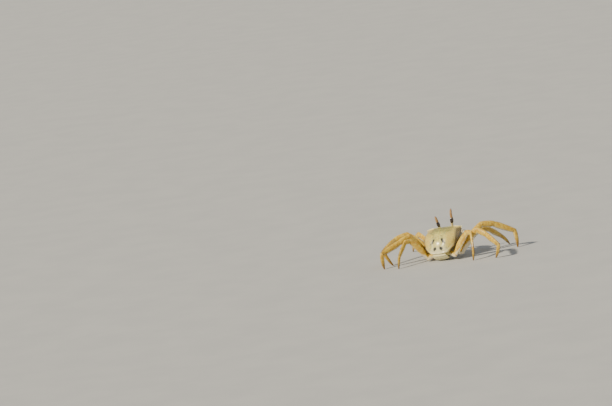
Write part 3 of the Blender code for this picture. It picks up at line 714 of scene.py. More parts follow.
def leg_chain(side, number):
    """Joints of a leg from its root to its tip, and the upward hint of each segment."""
    heading, merus, carpus, dactylus, lean, turn = [math.radians(value) for value in STANCES[side, number]]
    lengths = LEG_LENGTHS[number]
    sign = SIGNS[side]
    root = placed(sign, LEG_ROOTS[number])
    drop = lengths[0] * math.sin(merus) + lengths[1] * math.sin(carpus) + lengths[3] * math.sin(dactylus)
    propodus = math.asin(-(root[2] / math.cos(lean) + drop) / lengths[2])
    joints, hints = [root], []
    for length, rise, share in zip(lengths, (merus, carpus, propodus, dactylus), TURN_SHARES):
        bearing = heading + share * turn
        outward = np.array((sign * math.cos(bearing), -math.sin(bearing), 0.0))
        upward = math.cos(lean) * UP + math.sin(lean) * np.cross(UP, outward) * sign
        joints.append(joints[-1] + length * (math.cos(rise) * outward + math.sin(rise) * upward))
        hints.append(math.cos(rise) * upward - math.sin(rise) * outward)
    return joints, hints


def keel_row(angles, height, width):
    """Equal ridges at the given angles and their mirror images."""
    return tuple((place, height, width) for angle in angles for place in (angle, math.pi - angle))


# Ridges along each segment: angle, height and width
KEELS = {
    "merus": ((RIGHT_ANGLE, 0.05, 0.2), *keel_row((-0.95,), 0.07, 0.2)),
    "carpus": (*keel_row((0.75,), 0.06, 0.2), (RIGHT_ANGLE, 0.03, 0.2)),
    "propodus": keel_row((0.8, -0.8), 0.07, 0.18),
    "dactylus": (*keel_row((0.5, -0.5), 0.1, 0.16), (RIGHT_ANGLE, 0.08, 0.16), (-RIGHT_ANGLE, 0.08, 0.16)),
}
LEG_ENDS = {"merus": (0.5, 0.75), "carpus": (0.95, 0.7), "propodus": (0.85, 0.7), "dactylus": (0.8, 0.6)}
LEG_TOPS = {"merus": 0.45}
OTHER_TOP = 0.15
LEG_FLATNESS = 0.9
BASE_ROWS = 50

# Rows of granules on a segment: angle, count, size, stretch of the length, and lift
GRANULE_RANGE = (0.8, 1.2)
WHOLE = (0.08, 0.94)
KNEE = (0.25, 0.85)
GRANULE_ROWS = {
    "merus": ((RIGHT_ANGLE, 34, 0.2, WHOLE, 0.02), (-0.95, 26, 0.15, WHOLE, 0.02),
              (math.pi + 0.95, 26, 0.15, WHOLE, 0.02)),
    "carpus": ((0.75, 12, 0.15, KNEE, 0.0), (math.pi - 0.75, 12, 0.15, KNEE, 0.0)),
}

# Rows of bristles on a segment: angle, count, length, shift on the unwrap, stretch and spread
FRINGE_SPREAD = 0.25
FRINGES = {
    "merus": ((-0.95, 60, 1.0, 0.0, WHOLE, FRINGE_SPREAD),
              (math.pi + 0.95, 60, 1.0, 0.01, WHOLE, FRINGE_SPREAD)),
    "propodus": ((RIGHT_ANGLE, 150, 1.1, 0.0, (0.2, 0.95), FRINGE_SPREAD),
                 (-RIGHT_ANGLE, 180, 1.3, 0.01, (0.12, 0.95), FRINGE_SPREAD)),
    "dactylus": tuple((turn, 120, 0.6, 0.005 * turn, (0.15, 0.72), 0.12)
                      for turn in (RIGHT_ANGLE, -RIGHT_ANGLE, 0.5, math.pi - 0.5)),
}
BRISTLE_LINES = 3
LINE_SPREAD = 0.6
BRISTLE_WIDTH = 0.05
BRISTLE_LEAN = 0.5
BRISTLE_SCATTER = 0.16
BRISTLE_LENGTHS = (0.6, 1.1)
BRISTLE_DROOP = 0.22
UNWRAP_START = 0.02
UNWRAP_LENGTH = 0.96
STRIP_LENGTH = 0.95

# Joints: the soft ball and the two knobs, as shares of the height and width there
SOFT_SIZE = 0.43
SOFT_SINK = 0.1
SOFT_FLATNESS = 0.62
KNOB_SIZE = 0.14
KNOB_FLATNESS = 0.5
KNOB_SHADE = -2.0


def fringe(hairs, spots, along, strip, angle, count, length, stretch, spread=FRINGE_SPREAD):
    """A row of bristles along one line of a tube."""
    for turn in rng.normal(0.0, spread, BRISTLE_LINES):
        place, out, share = keel_points(spots, angle + turn * LINE_SPREAD, count // BRISTLE_LINES, *stretch)
        ways = out + BRISTLE_LEAN * along + rng.normal(0.0, BRISTLE_SCATTER, out.shape)
        lengths = length * rng.uniform(*BRISTLE_LENGTHS, len(place))
        patches = np.column_stack((UNWRAP_START + STRIP_LENGTH * share, np.full(len(share), strip)))
        hairs.grow(place, ways, lengths, BRISTLE_DROOP * along, patches)


def build_leg(side, number, materials, hairs, granules):
    """One walking leg: its base, four shelly segments, soft joints, granules and bristles."""
    joints, hints = leg_chain(side, number)
    girth = LEG_GIRTHS[number]
    hip = placed(SIGNS[side], COXA_ROOTS[number])
    base, soft = Skin(), Skin()
    span = joints[0] - hip
    spots, _, under = tube(hip, segment_axes(span, UP), np.linalg.norm(span), SECTIONS["base"], girth,
                           rows=BASE_ROWS)
    base.grid(spots, under=under)
    for index, part in enumerate(PARTS):
        start, end = joints[index], joints[index + 1]
        axes = segment_axes(end - start, hints[index])
        spots, along, under = tube(start, axes, np.linalg.norm(end - start), SECTIONS[part], girth,
                                   ARCHES.get(part, 0.0), ends=LEG_ENDS[part], keels=KEELS[part],
                                   top=LEG_TOPS.get(part, OTHER_TOP), flat=LEG_FLATNESS)
        spots[..., 2] = np.maximum(spots[..., 2], 0.0)
        skin = Skin().grid(spots, along=along, under=under)
        name = f"{side}_leg_{number}_{part}"
        # The last merus keeps its lower face golden rather than white: painted shade on that face
        paint = "shaded_last_merus" if part == "merus" and number == 5 else part
        make_piece(f"{name}_skin", skin, materials[paint], [name])
        strip = UNWRAP_START + UNWRAP_LENGTH * (number - 2 + index / 4) / 4
        for angle, count, size, stretch, lift in GRANULE_ROWS.get(part, ()):
            place, out, _ = keel_points(spots, angle, count, *stretch)
            granules.beads(place + lift * out, uneven((size * girth, *GRANULE_RANGE), count), BEAD)
        for angle, count, length, shift, stretch, spread in FRINGES.get(part, ()):
            fringe(hairs, spots, axes[0], strip + shift, angle, count, length, stretch, spread)
        if index:
            bend = unit(hints[index - 1] + hints[index])
            across = axes[1]
            height, wide = [SECTIONS[part][0][column] * girth for column in (1, 2)]
            soft.beads(start - SOFT_SINK * height * bend, SOFT_SIZE * height, FINE_BEAD, SOFT_FLATNESS,
                       across[None])
            for turn in (1.0, -1.0):
                base.beads(start + turn * wide / 2 * across, KNOB_SIZE * height, FINE_BEAD, KNOB_FLATNESS,
                           across[None], under=KNOB_SHADE)
    make_piece(f"{side}_leg_{number}_base", base, materials["leg_base"])
    make_piece(f"{side}_leg_{number}_joints", soft, materials["joint_skin"])


class Hairs:
    """Short bristles, each a thin spike with its own small patch on the skin's unwrap."""

    PATCH = 0.003
    RINGS = ((-0.08, 1.0), (0.45, 0.75))
    SIDES = np.array([(0, 1, 4, 3), (1, 2, 5, 4), (2, 0, 3, 5)])
    ENDS = np.array([(3, 4, 6), (4, 5, 6), (5, 3, 6), (2, 1, 0)])
    CORNERS = np.array([(0, 0), (1, 0), (0.5, 1), (0, 0.4), (1, 0.4), (0.5, 0.8), (0.5, 0.5)])
    SLANT = (0.31, 0.52, 0.79)

    def __init__(self):
        self.skin = Skin()
        self.patches = []

    def grow(self, roots, ways, lengths, droop, patches):
        """Grow a spike from each root along its way, bent towards the droop."""
        ways = unit(ways)
        across = unit(np.cross(ways, self.SLANT))
        other = np.cross(ways, across)
        lengths = lengths[:, None]
        rings = []
        for share, thick in self.RINGS:
            centre = roots + lengths * (share * ways + share ** 2 * droop * np.sign(share))
            for angle in circle(3):
                around = math.cos(angle) * across + math.sin(angle) * other
                rings.append(centre + BRISTLE_WIDTH * thick * around)
        rings.append(roots + lengths * (ways + droop))
        spots = np.stack(rings, axis=1)
        number = np.arange(len(roots))[:, None, None] * len(rings)
        faces = [(block[None] + number).reshape(-1, block.shape[1]) for block in (self.SIDES, self.ENDS)]
        self.skin.add(spots.reshape(-1, 3), faces)
        self.patches.append((patches[:, None] + self.CORNERS * self.PATCH).reshape(-1, 2))

    def piece(self, name, material, slot):
        make_piece(name, self.skin, material, patches=np.vstack(self.patches))


def keel_points(spots, angle, count, low, high):
    """Places spread along one lengthwise line of a tube, and the way out from its middle."""
    rows, columns = spots.shape[:2]
    column = int(round(angle / (2 * math.pi) * columns)) % columns
    row = np.linspace(low, high, count) * (rows - 1)
    base = row.astype(int)
    part = (row - base)[:, None]
    line = spots[:, column]
    middle = spots.mean(axis=1)
    place = line[base] * (1 - part) + line[base + 1] * part
    out = place - middle[base] * (1 - part) - middle[base + 1] * part
    return place, unit(out), row / (rows - 1)


# Eyes: profiles of the height along each part, and its width as a share of that
STALK_PROFILE = [(0, 2.7), (0.3, 2.9), (0.42, 3.2), (0.5, 2.9), (0.8, 3.2), (1.0, 3.5)]
STALK_FLATNESS = 0.92
STALK_INSET = 1.2
STALK_BEND = 0.6
STALK_RISES = (0.8, 0.5)
STRAP_PROFILE = [(0, 0.9), (0.3, 1.55), (0.6, 1.45), (1, 0.5)]
STRAP_REACH = (-0.1, 1.05)
STRAP_GIRTH = 1.5
STRAP_PLACE = (0.9, -0.45)
CORNEA_PROFILE = [(0, 3.6), (0.25, 4.7), (0.6, 4.5), (0.86, 3.3), (1.0, 2.4)]
CORNEA_REACH = (0.04, 0.98)
CORNEA_FLATNESS = 0.86
CORNEA_COLUMNS = 48
HORN_PROFILE = [(0, 3.3), (0.12, 3.2), (0.4, 3.1), (0.8, 2.6), (0.94, 1.6), (1.0, 0.8)]
HORN_REACH = (-0.05, 0.935)
HORN_FLATNESS = 0.94
HORN_COLUMNS = 32
HORN_BEND = 0.35
EYE_ROWS = {"stalk": 40, "strap": 24, "cornea": 36, "horn": 40}


def build_eye(side, materials):
    """Bent stalk, swollen dark cornea and the horn above it."""
    sign = SIGNS[side]
    root = body(sign * EYE_ROOT[0], EYE_ROOT[1] - STALK_INSET, EYE_ROOT[2])
    elbow = placed(sign, EYE_ELBOWS[side])
    outward, forward, upward = EYE_LEANS[side]
    way = unit((sign * outward, -forward, upward))
    stalk_length, cornea_length, horn_length = EYE_LENGTHS[side]
    neck = elbow + way * stalk_length
    brow = neck + way * cornea_length
    hint = body_way(0.0, -1.0, 0.0)
    inward = unit(np.cross(way, hint)) * -sign
    rows = {part: ramp(count) for part, count in EYE_ROWS.items()}

    bend = root + (elbow - root) * STALK_BEND
    above, over = STALK_RISES
    path = path_through([root, bend, elbow + way * above, neck, neck + way * over], EYE_ROWS["stalk"])
    strap = straight(neck, way * cornea_length, STRAP_REACH, EYE_ROWS["strap"])
    strap = strap + curve(STRAP_PROFILE, rows["strap"])[:, None] * np.dot(STRAP_PLACE, (inward, hint))
    stalk = Skin()
    stalk.grid(pipe(path, hint, curve(STALK_PROFILE, rows["stalk"]), STALK_FLATNESS)[0])
    stalk.grid(pipe(strap, hint, np.full(EYE_ROWS["strap"], STRAP_GIRTH))[0])
    make_piece(f"{side}_eyestalk_skin", stalk, materials["stalk"], [f"{side}_eyestalk"])

    path = straight(neck, way * cornea_length, CORNEA_REACH, EYE_ROWS["cornea"])
    spots, _ = pipe(path, hint, curve(CORNEA_PROFILE, rows["cornea"]), CORNEA_FLATNESS, CORNEA_COLUMNS)
    cornea = Skin().grid(spots)
    make_piece(f"{side}_cornea_skin", cornea, materials["cornea"], [f"{side}_cornea"])

    share = rows["horn"][:, None]
    path = straight(brow, way * horn_length, HORN_REACH, EYE_ROWS["horn"])
    path = path + HORN_BEND * np.sin(share * math.pi) * (hint - inward)
    spots, along = pipe(path, hint, curve(HORN_PROFILE, rows["horn"]), HORN_FLATNESS, HORN_COLUMNS)
    horn = Skin().grid(spots, along=along)
    make_piece(f"{side}_horn_skin", horn, materials["horn"], [f"{side}_horn"])


# Claws: sections as in SECTIONS, ridges as in KEELS, and profiles of the two fingers
CLAW_BASE_SECTIONS = [(0.0, 7.4, 7.4), (0.55, 7.2, 7.0), (0.7, 6.2, 6.2), (1.0, 6.0, 5.8)]
CLAW_KEELS = ((RIGHT_ANGLE, 0.06, 0.2), *keel_row((-0.8,), 0.09, 0.25))
CLAW_SHAPE = {"rows": 50, "ends": (0.5, 0.6), "keels": CLAW_KEELS, "top": 0.3}
CLAW_HINT = (0.0, 0.3, 1.0)
CLAW_GRANULES = ((RIGHT_ANGLE, 0.26), (-0.8, 0.34), (math.pi + 0.8, 0.34))
CLAW_GRANULE_COUNT = 12
CLAW_GRANULE_RANGE = (0.7, 1.3)
CLAW_STRETCH = (0.2, 0.88)
CLAW_BASE_ROWS = 40
CLAW_BASE_WHITE = 0.9
CLAW_STRIP = 0.985
CLAW_BRISTLES = (45, 0.9)
JOINT_SIZES = {"arm": 3.0, "wrist": 3.0, "palm": 3.1}
JOINT_FLATNESS = 0.9
SPINE_LEAN = (0.5, 0.3)
SPINE_REACH = (2.4, 5.2)
SPINE_WIDTHS = (2.0, 0.4)
SPINE_ROWS = 12
SPINE_COLUMNS = 16
SPINE_SHARE = 0.2
PALM_SHARE = 0.56
PALM_SECTIONS = [(0.0, 6.4, 5.2), (0.1, 9.0, 6.4), (0.24, 12.8, 7.6), (0.4, 14.6, 8.2), (0.5, 13.6, 7.6),
                 (0.56, 11.6, 6.8)]
PALM_SHAPE = {"columns": 56, "ends": (0.8, 0.22), "top": 0.2, "flat": 0.85}
PALM_GRANULES = (11, 22)
PALM_GRANULE = (0.13, 0.6, 1.5)
PALM_BORDER = 0.15
PALM_SCATTER = 0.16
FIXED_REACH = (0.42, 0.57)
FIXED_DROP = [(0, -3.0), (0.16, -4.0), (0.58, -4.3), (0.86, -3.4), (1.0, -2.2)]
FIXED_PROFILE = [(0, 8.0), (0.2, 6.4), (0.58, 4.4), (0.86, 2.5), (1.0, 0.9)]
MOVING_PROFILE = [(0, 5.6), (0.15, 6.0), (0.35, 5.2), (0.7, 3.7), (0.92, 1.9), (1.0, 0.8)]
FIXED_SHAPE = {"flat": 0.88, "columns": 40, "top": 0.35}
MOVING_SHAPE = {"flat": 0.82, "columns": 40, "top": 0.2}
FINGER_ROWS = 44
FINGER_INSET = 1.2

# Teeth: their number, size, how that varies along the finger, and where they stand
MOST_TEETH = 20
TOOTH_SIZE = 0.5
TOOTH_WAVE = (0.6, 0.5, 2.1)
TOOTH_TAPER = (1.15, 0.6)
TOOTH_TALLNESS = 1.35
TOOTH_SINK = 0.1
TOOTH_STARTS = (0.3, 0.24)
TOOTH_END = 0.9


def build_claw(side, materials, hairs, granules):
    """Arm, wrist, palm with its fixed finger, and the moving finger, with teeth and granules."""
    sign = SIGNS[side]
    girth = CLAW_GIRTHS[side]
    length = CLAW_LENGTHS[side]
    joints = [placed(sign, point) for point in CLAW_JOINTS]
    outward, forward, up = CLAW_REACH[side]
    reach = unit(body_way(sign * outward, forward, up))
    hint = body_way(*CLAW_HINT)

    span = joints[1] - joints[0]
    base, soft = Skin(), Skin()
    base.grid(tube(joints[0], segment_axes(span, hint), np.linalg.norm(span), CLAW_BASE_SECTIONS, girth,
                   rows=CLAW_BASE_ROWS)[0], under=CLAW_BASE_WHITE)
    for index, part in ((1, "arm"), (2, "wrist")):
        span = joints[index + 1] - joints[index]
        axes = segment_axes(span, hint)
        spots, along, _ = tube(joints[index], axes, np.linalg.norm(span), SECTIONS[f"claw_{part}"], girth,
                               **CLAW_SHAPE)
        skin = Skin().grid(spots, along=along)
        name = f"{side}_claw_{part}"
        make_piece(f"{name}_skin", skin, materials["claw"], [name])
        for angle, size in CLAW_GRANULES:
            place, _, _ = keel_points(spots, angle, CLAW_GRANULE_COUNT, *CLAW_STRETCH)
            sizes = uneven((size * girth, *CLAW_GRANULE_RANGE), CLAW_GRANULE_COUNT)
            granules.beads(place, sizes, BEAD)
        soft.beads(joints[index], JOINT_SIZES[part] * girth, FINE_BEAD, JOINT_FLATNESS, axes[1][None])
        fringe(hairs, spots, axes[0], CLAW_STRIP, -RIGHT_ANGLE, *CLAW_BRISTLES, WHOLE)

    inner = unit(body_way(-sign, *SPINE_LEAN))
    path = straight((joints[2] + joints[3]) / 2, inner * girth, SPINE_REACH, SPINE_ROWS)
    widths = np.linspace(*SPINE_WIDTHS, SPINE_ROWS) * girth
    palm = Skin().grid(pipe(path, hint, widths, columns=SPINE_COLUMNS)[0], along=SPINE_SHARE)
    axes = segment_axes(reach, hint)
    sections = [(share / PALM_SHARE, height, width) for share, height, width in PALM_SECTIONS]
    spots, along, _ = tube(joints[3], axes, length * PALM_SHARE, sections, girth, **PALM_SHAPE)
    palm.grid(spots, along=along * 0.5)
    rows, count = PALM_GRANULES
    for angle in np.linspace(PALM_BORDER, math.pi - PALM_BORDER, rows):
        place, _, _ = keel_points(spots, angle, count, PALM_BORDER, 1 - PALM_BORDER)
        place = place + rng.normal(0.0, PALM_SCATTER, place.shape)
        granules.beads(place, girth * uneven(PALM_GRANULE, count), BEAD)

    share = ramp(FINGER_ROWS)
    fixed_x = length * (FIXED_REACH[0] + FIXED_REACH[1] * share)
    fixed_z = girth * curve(FIXED_DROP, share)
    path = joints[3] + fixed_x[:, None] * axes[0] + fixed_z[:, None] * axes[2]
    fixed, along = pipe(path, axes[2], girth * curve(FIXED_PROFILE, share), **FIXED_SHAPE)
    palm.grid(fixed, along=0.5 + 0.5 * along)
    make_piece(f"{side}_claw_palm_skin", palm, materials["claw"], [f"{side}_claw_palm"])
    soft.beads(joints[3], JOINT_SIZES["palm"] * girth, FINE_BEAD, JOINT_FLATNESS, axes[1][None])

    start = np.array((length * FINGER_ROOT[0] - FINGER_INSET * girth, FINGER_ROOT[1] * girth))
    end = np.array((length * FINGER_TIP[0], FINGER_TIP[1] * girth))
    line = start + (end - start) * share[:, None]
    line[:, 1] += FINGER_ARCH * girth * 4 * share * (1 - share)
    path = joints[3] + line[:, :1] * axes[0] + line[:, 1:] * axes[2]
    moving, along = pipe(path, axes[2], girth * curve(MOVING_PROFILE, share), **MOVING_SHAPE)
    finger = Skin().grid(moving, along=0.5 + 0.5 * along)
    make_piece(f"{side}_claw_finger_skin", finger, materials["claw"], [f"{side}_claw_finger"])

    count = int(MOST_TEETH * length / max(CLAW_LENGTHS.values()))
    least, swing, step = TOOTH_WAVE
    wave = least + swing * np.sin(np.arange(count) * step) ** 2
    teeth = Skin()
    for surface, angle, low in zip((fixed, moving), (RIGHT_ANGLE, -RIGHT_ANGLE), TOOTH_STARTS):
        place, out, spot = keel_points(surface, angle, count, low, TOOTH_END)
        size = girth * TOOTH_SIZE * wave * (TOOTH_TAPER[0] - TOOTH_TAPER[1] * spot)
        teeth.beads(place - TOOTH_SINK * out, size, BEAD, TOOTH_TALLNESS, out)
    make_piece(f"{side}_claw_teeth", teeth, materials["tooth"])
    make_piece(f"{side}_claw_base", base, materials["leg_base"])
    make_piece(f"{side}_claw_joints", soft, materials["joint_skin"])


# Mouth and feelers: the wall behind the mouth, and each plate's inner and outer x, top, bottom,
# depth and paleness
MOUTH_WALL = (17.43, 0.1)
MOUTH_PLATES = {"lower plate": (0.12, 5.6, -4.55, -11.3, 1.9, 0.9),
                "upper plate": (0.3, 5.4, -0.7, -4.5, 1.7, 0.9),
                "outer rod": (5.7, 7.3, -1.4, -10.8, 1.2, 0.7)}
PLATE_ROUNDING = 0.5
PLATE_COLUMNS = 64
PLATE_ROWS = ((1.0, 0.0), (1.0, 0.35), (0.985, 0.62), (0.94, 0.83), (0.86, 0.93), (0.7, 0.98), (0.5, 1.0),
              (0.3, 0.99), (0.1, 0.97))
PALP_POINTS = ((4.4, 18.6, -1.2), (3.4, 19.3, -0.5), (1.9, 19.5, -0.9), (1.3, 19.4, -2.6),
               (1.2, 19.1, -4.4))
PALP_PROFILE = [(0, 0.9), (0.28, 1.1), (0.34, 0.8), (0.5, 1.0), (0.62, 0.95), (0.68, 0.7), (0.8, 0.8),
                (1, 0.4)]
PALP_ROWS = 40
PALP_COLUMNS = 24
PALP_PALENESS = 0.9
FEELERS = ((((9.6, 17.6, -0.6), (10.4, 19.9, -0.9), (11.7, 21.6, -0.5), (13.6, 23.0, 0.9)), 1.5),
           (((2.2, 18.0, -0.4), (2.9, 19.6, -0.2), (3.6, 20.4, -1.4)), 1.3))
FEELER_PROFILE = [(0, 1.3), (0.16, 1.45), (0.2, 1.0), (0.34, 1.1), (0.39, 0.62), (1.0, 0.28)]
FEELER_ROWS = 72
FEELER_COLUMNS = 20
FEELER_RINGS = (14, 0.14, (0.4, 0.5))

# Bristles of the mouth: number, heights, place of their roots, way, scatter, unwrap and lengths
MOUTH_BRISTLES = 150
MOUTH_HEIGHTS = (-11.0, -1.0)
MOUTH_ROOTS = (0.42, 1.2)
MOUTH_WAY = (-0.7, 1.0, -0.3)
MOUTH_SCATTER = 0.22
MOUTH_STRIP = (0.02, 0.3)
MOUTH_STRIP_HEIGHT = 0.99
MOUTH_LENGTHS = (0.9, 1.8)
MOUTH_DROOP = (0.0, 0.0, -0.2)


def mouth_plate(skin, sign, inner, outer, top, bottom, depth, paleness):
    """One rounded plate of the mouth, bulging forward from the wall behind it."""
    angle = circle(PLATE_COLUMNS)
    corner_x, corner_z = [np.sign(way) * np.abs(way) ** PLATE_ROUNDING
                          for way in (np.cos(angle), np.sin(angle))]
    rows = []
    for share, rise in PLATE_ROWS:
        x = (inner + outer) / 2 + (outer - inner) / 2 * share * corner_x
        z = (top + bottom) / 2 + (top - bottom) / 2 * share * corner_z
        rows.append(body(sign * x, MOUTH_WALL[0] + MOUTH_WALL[1] * z + depth * rise, z))
    skin.grid(np.array(rows), pale=paleness)


def build_mouth(side, materials, hairs):
    """The outer mouth plates: a long lower plate, a short upper one, its palp and an outer rod."""
    sign = SIGNS[side]
    skin = Skin()
    for values in MOUTH_PLATES.values():
        mouth_plate(skin, sign, *values)
    path = path_through([placed(sign, point) for point in PALP_POINTS], PALP_ROWS)
    girths = curve(PALP_PROFILE, ramp(PALP_ROWS))
    skin.grid(pipe(path, body_way(0.0, 1.0, 0.0), girths, columns=PALP_COLUMNS)[0], pale=PALP_PALENESS)
    make_piece(f"{side}_mouth_plates", skin, materials["shell"], [f"{side}_mouth_plate"])

    count = MOUTH_BRISTLES
    height = rng.uniform(*MOUTH_HEIGHTS, count)
    apart, ahead = MOUTH_ROOTS
    roots = body(sign * apart, MOUTH_WALL[0] + MOUTH_WALL[1] * height + ahead, height)
    inward, forward, up = MOUTH_WAY
    ways = body_way(sign * inward, forward, up) + rng.normal(0.0, MOUTH_SCATTER, (count, 3))
    patches = np.column_stack((rng.uniform(*MOUTH_STRIP, count), np.full(count, MOUTH_STRIP_HEIGHT)))
    hairs.grow(roots, ways, rng.uniform(*MOUTH_LENGTHS, count), body_way(*MOUTH_DROOP), patches)

    share = ramp(FEELER_ROWS)
    cycles, depth, start = FEELER_RINGS
    rings = 1 + depth * np.sin(share * 2 * math.pi * cycles) * smooth(*start, share)
    feeler = Skin()
    for points, width in FEELERS:
        path = path_through([placed(sign, point) for point in points], FEELER_ROWS)
        girths = width * curve(FEELER_PROFILE, share) * rings
        feeler.grid(pipe(path, UP, girths, columns=FEELER_COLUMNS)[0])
    make_piece(f"{side}_feelers", feeler, materials["stalk"], [f"{side}_feeler"])


# Materials

class Paint:
    """A procedural material, built node by node in the row's frame, with sizes in millimetres."""

    RAGGED_BAND = (0.2, 0.8)
    COAT_ROUGHNESS = 0.2
    SUBSURFACE_DEPTH = 0.0015

    def __init__(self, name, roughness, specular=0.5, coat=0.0, subsurface=0.0):
        self.material = bpy.data.materials.new(name)
        self.material.use_nodes = True
        self.tree = self.material.node_tree
        self.shader = self.tree.nodes["Principled BSDF"]
        for socket, value in (("Roughness", roughness), ("Specular IOR Level", specular),
                              ("Coat Weight", coat), ("Coat Roughness", self.COAT_ROUGHNESS),
                              ("Subsurface Weight", subsurface),
                              ("Subsurface Scale", self.SUBSURFACE_DEPTH)):
            self.shader.inputs[socket].default_value = value
        self.place = self.node("ShaderNodeTexCoord").outputs["Object"]

    def node(self, kind, feeds=(), **settings):
        """Add a node with its settings, and feed its inputs with outputs or plain values."""
        made = self.tree.nodes.new(kind)
        for key, value in settings.items():
            setattr(made, key, value)
        for socket, value in feeds:
            self.feed(made.inputs[socket], value)
        return made

    def feed(self, socket, value):
        """Connect an output to a socket, or set a plain value on it."""
        if isinstance(value, bpy.types.NodeSocket):
            self.tree.links.new(value, socket)
        elif hasattr(value, "__len__"):
            socket.default_value = (*value, 1.0)[:len(socket.default_value)]
        else:
            socket.default_value = value

    def noise(self, size, detail=4.0, roughness=0.55):
        """Noise with features of about the given size, from 0 to 1."""
        feeds = (("Vector", self.place), ("Scale", 1.0 / (size * MM)), ("Detail", detail),
                 ("Roughness", roughness))
        return self.node("ShaderNodeTexNoise", feeds).outputs["Fac"]

    def cells(self, size, feature="F1", stretch=(1.0, 1.0, 1.0)):
        """Distance to the nearest cell's middle, or to the edge between two cells."""
        mapping = self.node("ShaderNodeMapping", (("Vector", self.place), ("Scale", stretch)))
        feeds = (("Vector", mapping.outputs["Vector"]), ("Scale", 1.0 / (size * MM)))
        return self.node("ShaderNodeTexVoronoi", feeds, feature=feature).outputs["Distance"]

    def painted(self, name):
        return self.node("ShaderNodeAttribute", attribute_name=name).outputs["Fac"]

    def combine(self, operation, first, second):
        return self.node("ShaderNodeMath", ((0, first), (1, second)), operation=operation,
                         use_clamp=operation != "ADD").outputs[0]

    def band(self, value, low, high, start=0.0, end=1.0):
        """Stretch a range of a value to another one, clamped and smooth."""
        feeds = (("Value", value), ("From Min", low), ("From Max", high), ("To Min", start),
                 ("To Max", end))
        return self.node("ShaderNodeMapRange", feeds, interpolation_type="SMOOTHSTEP").outputs["Result"]

    def mix(self, share, first, second):
        feeds = (("Factor", share), (6, first), (7, second))
        return self.node("ShaderNodeMix", feeds, data_type="RGBA").outputs[2]

    def mottle(self, size, low, high, start=0.0, end=1.0, detail=4.0, roughness=0.55):
        """Blotches of about the given size, as a mask from the start value to the end value."""
        return self.band(self.noise(size, detail, roughness), low, high, start, end)

    def pores(self, size, low, high, strength):
        """A mask of the given strength at the middle of each small cell."""
        return self.band(self.cells(size), low, high, strength, 0.0)

    def share(self, name, strength):
        """A painted mask, made weaker."""
        return self.combine("MULTIPLY", self.painted(name), strength)

    def ragged(self, name, size, amount):
        """A painted mask with an uneven border."""
        mottle = self.mottle(size, *self.RAGGED_BAND, -amount, amount)
        return self.combine("ADD", self.painted(name), mottle)

    def grain(self, size, fine, reach=0.5):
        """The height of a granular surface with a finer roughness on it."""
        pores = self.pores(size, low=0.0, high=reach, strength=1.0)
        return self.combine("ADD", pores, self.noise(fine, detail=3.0))

    def finish(self, color, height, depth, roughness=None):
        """Set the colour, a bump whose depth is in millimetres, and a varied roughness."""
        self.feed(self.shader.inputs["Base Color"], color)
        if roughness is not None:
            self.feed(self.shader.inputs["Roughness"], roughness)
        bump = self.node("ShaderNodeBump", (("Distance", depth * MM), ("Height", height)))
        self.feed(self.shader.inputs["Normal"], bump.outputs["Normal"])
        return self.material


STRAW = (0.58, 0.48, 0.095)
PALE_STRAW = (0.80, 0.71, 0.215)
OLIVE = (0.36, 0.34, 0.12)
OLIVE_SHADE = (0.24, 0.225, 0.06)
DARK_MARK = (0.022, 0.024, 0.015)
HALO_GREY = (0.29, 0.29, 0.15)
PORE_BROWN = (0.30, 0.24, 0.11)
PALE_FLECK = (0.8, 0.76, 0.58)
SEAM_BROWN = (0.40, 0.28, 0.12)
IVORY = (0.82, 0.75, 0.46)
# The netted flank: lighter net lines on a dark ground, the ground darkened as painted shade
FLANK_SHADE_DARK = (0.055, 0.038, 0.014)
FLANK_NET = (0.16, 0.11, 0.035)
TAN = (0.66, 0.46, 0.105)
GOLD = (0.56, 0.325, 0.025)
PALE_GOLD = (0.74, 0.53, 0.09)
ORANGE = (0.44, 0.17, 0.012)
BROWN = (0.15, 0.06, 0.01)
WHITE_SHELL = (0.76, 0.71, 0.54)
CORNEA_BLACK = (0.012, 0.007, 0.005)
CORNEA_BROWN = (0.05, 0.022, 0.010)
FLOOR_GREYS = ((0.50, 0.50, 0.49), (0.53, 0.53, 0.515))
NET_STRETCH = (1.0, 1.0, 0.6)

# Leg materials: how white the lower face is, where that starts, how far it climbs near the
# body, and where the darkening towards the tip starts and ends
LEG_LOOKS = {
    "leg_base": {"underside": (-0.55, 0.25)},
    "merus": {"rooted": 1.0},
    # The last merus: less white on its lower face, as painted shade
    "shaded_last_merus": {"white": 0.8, "underside": (0.6, 1.0), "rooted": 0.5},
    "carpus": {"white": 0.6},
    "propodus": {"white": 0.5, "darkening": (0.7, 1.25)},
    "dactylus": {"white": 0.2, "darkening": (0.3, 0.95)},
}

# Plain materials: two mottled colours, the size of the mottling, and the roughness
PLAIN_LOOKS = {
    "joint_skin": {"colors": ((0.48, 0.30, 0.11), (0.56, 0.40, 0.18)), "size": 1.0, "roughness": 0.55},
    "claw": {"colors": ((0.64, 0.50, 0.27), (0.78, 0.69, 0.47)), "size": 3.4, "roughness": 0.4,
             "tip": ((0.82, 0.77, 0.64), 0.5, 0.9), "blot": (0.50, 0.33, 0.15), "coat": 0.2},
    "tooth": {"colors": ((0.76, 0.72, 0.62), (0.82, 0.80, 0.72)), "size": 2.0, "roughness": 0.3},
    "stalk": {"colors": ((0.60, 0.45, 0.18), (0.72, 0.58, 0.28)), "size": 1.5, "roughness": 0.4},
    "horn": {"colors": ((0.36, 0.19, 0.07), (0.46, 0.28, 0.12)), "size": 1.2, "roughness": 0.45,
             "tip": ((0.20, 0.085, 0.03), 0.6, 1.0)},
    "bristle": {"colors": ((0.34, 0.22, 0.09), (0.46, 0.33, 0.16)), "size": 0.8, "roughness": 0.5,
                "depth": 0.0, "subsurface": 0.0},
}


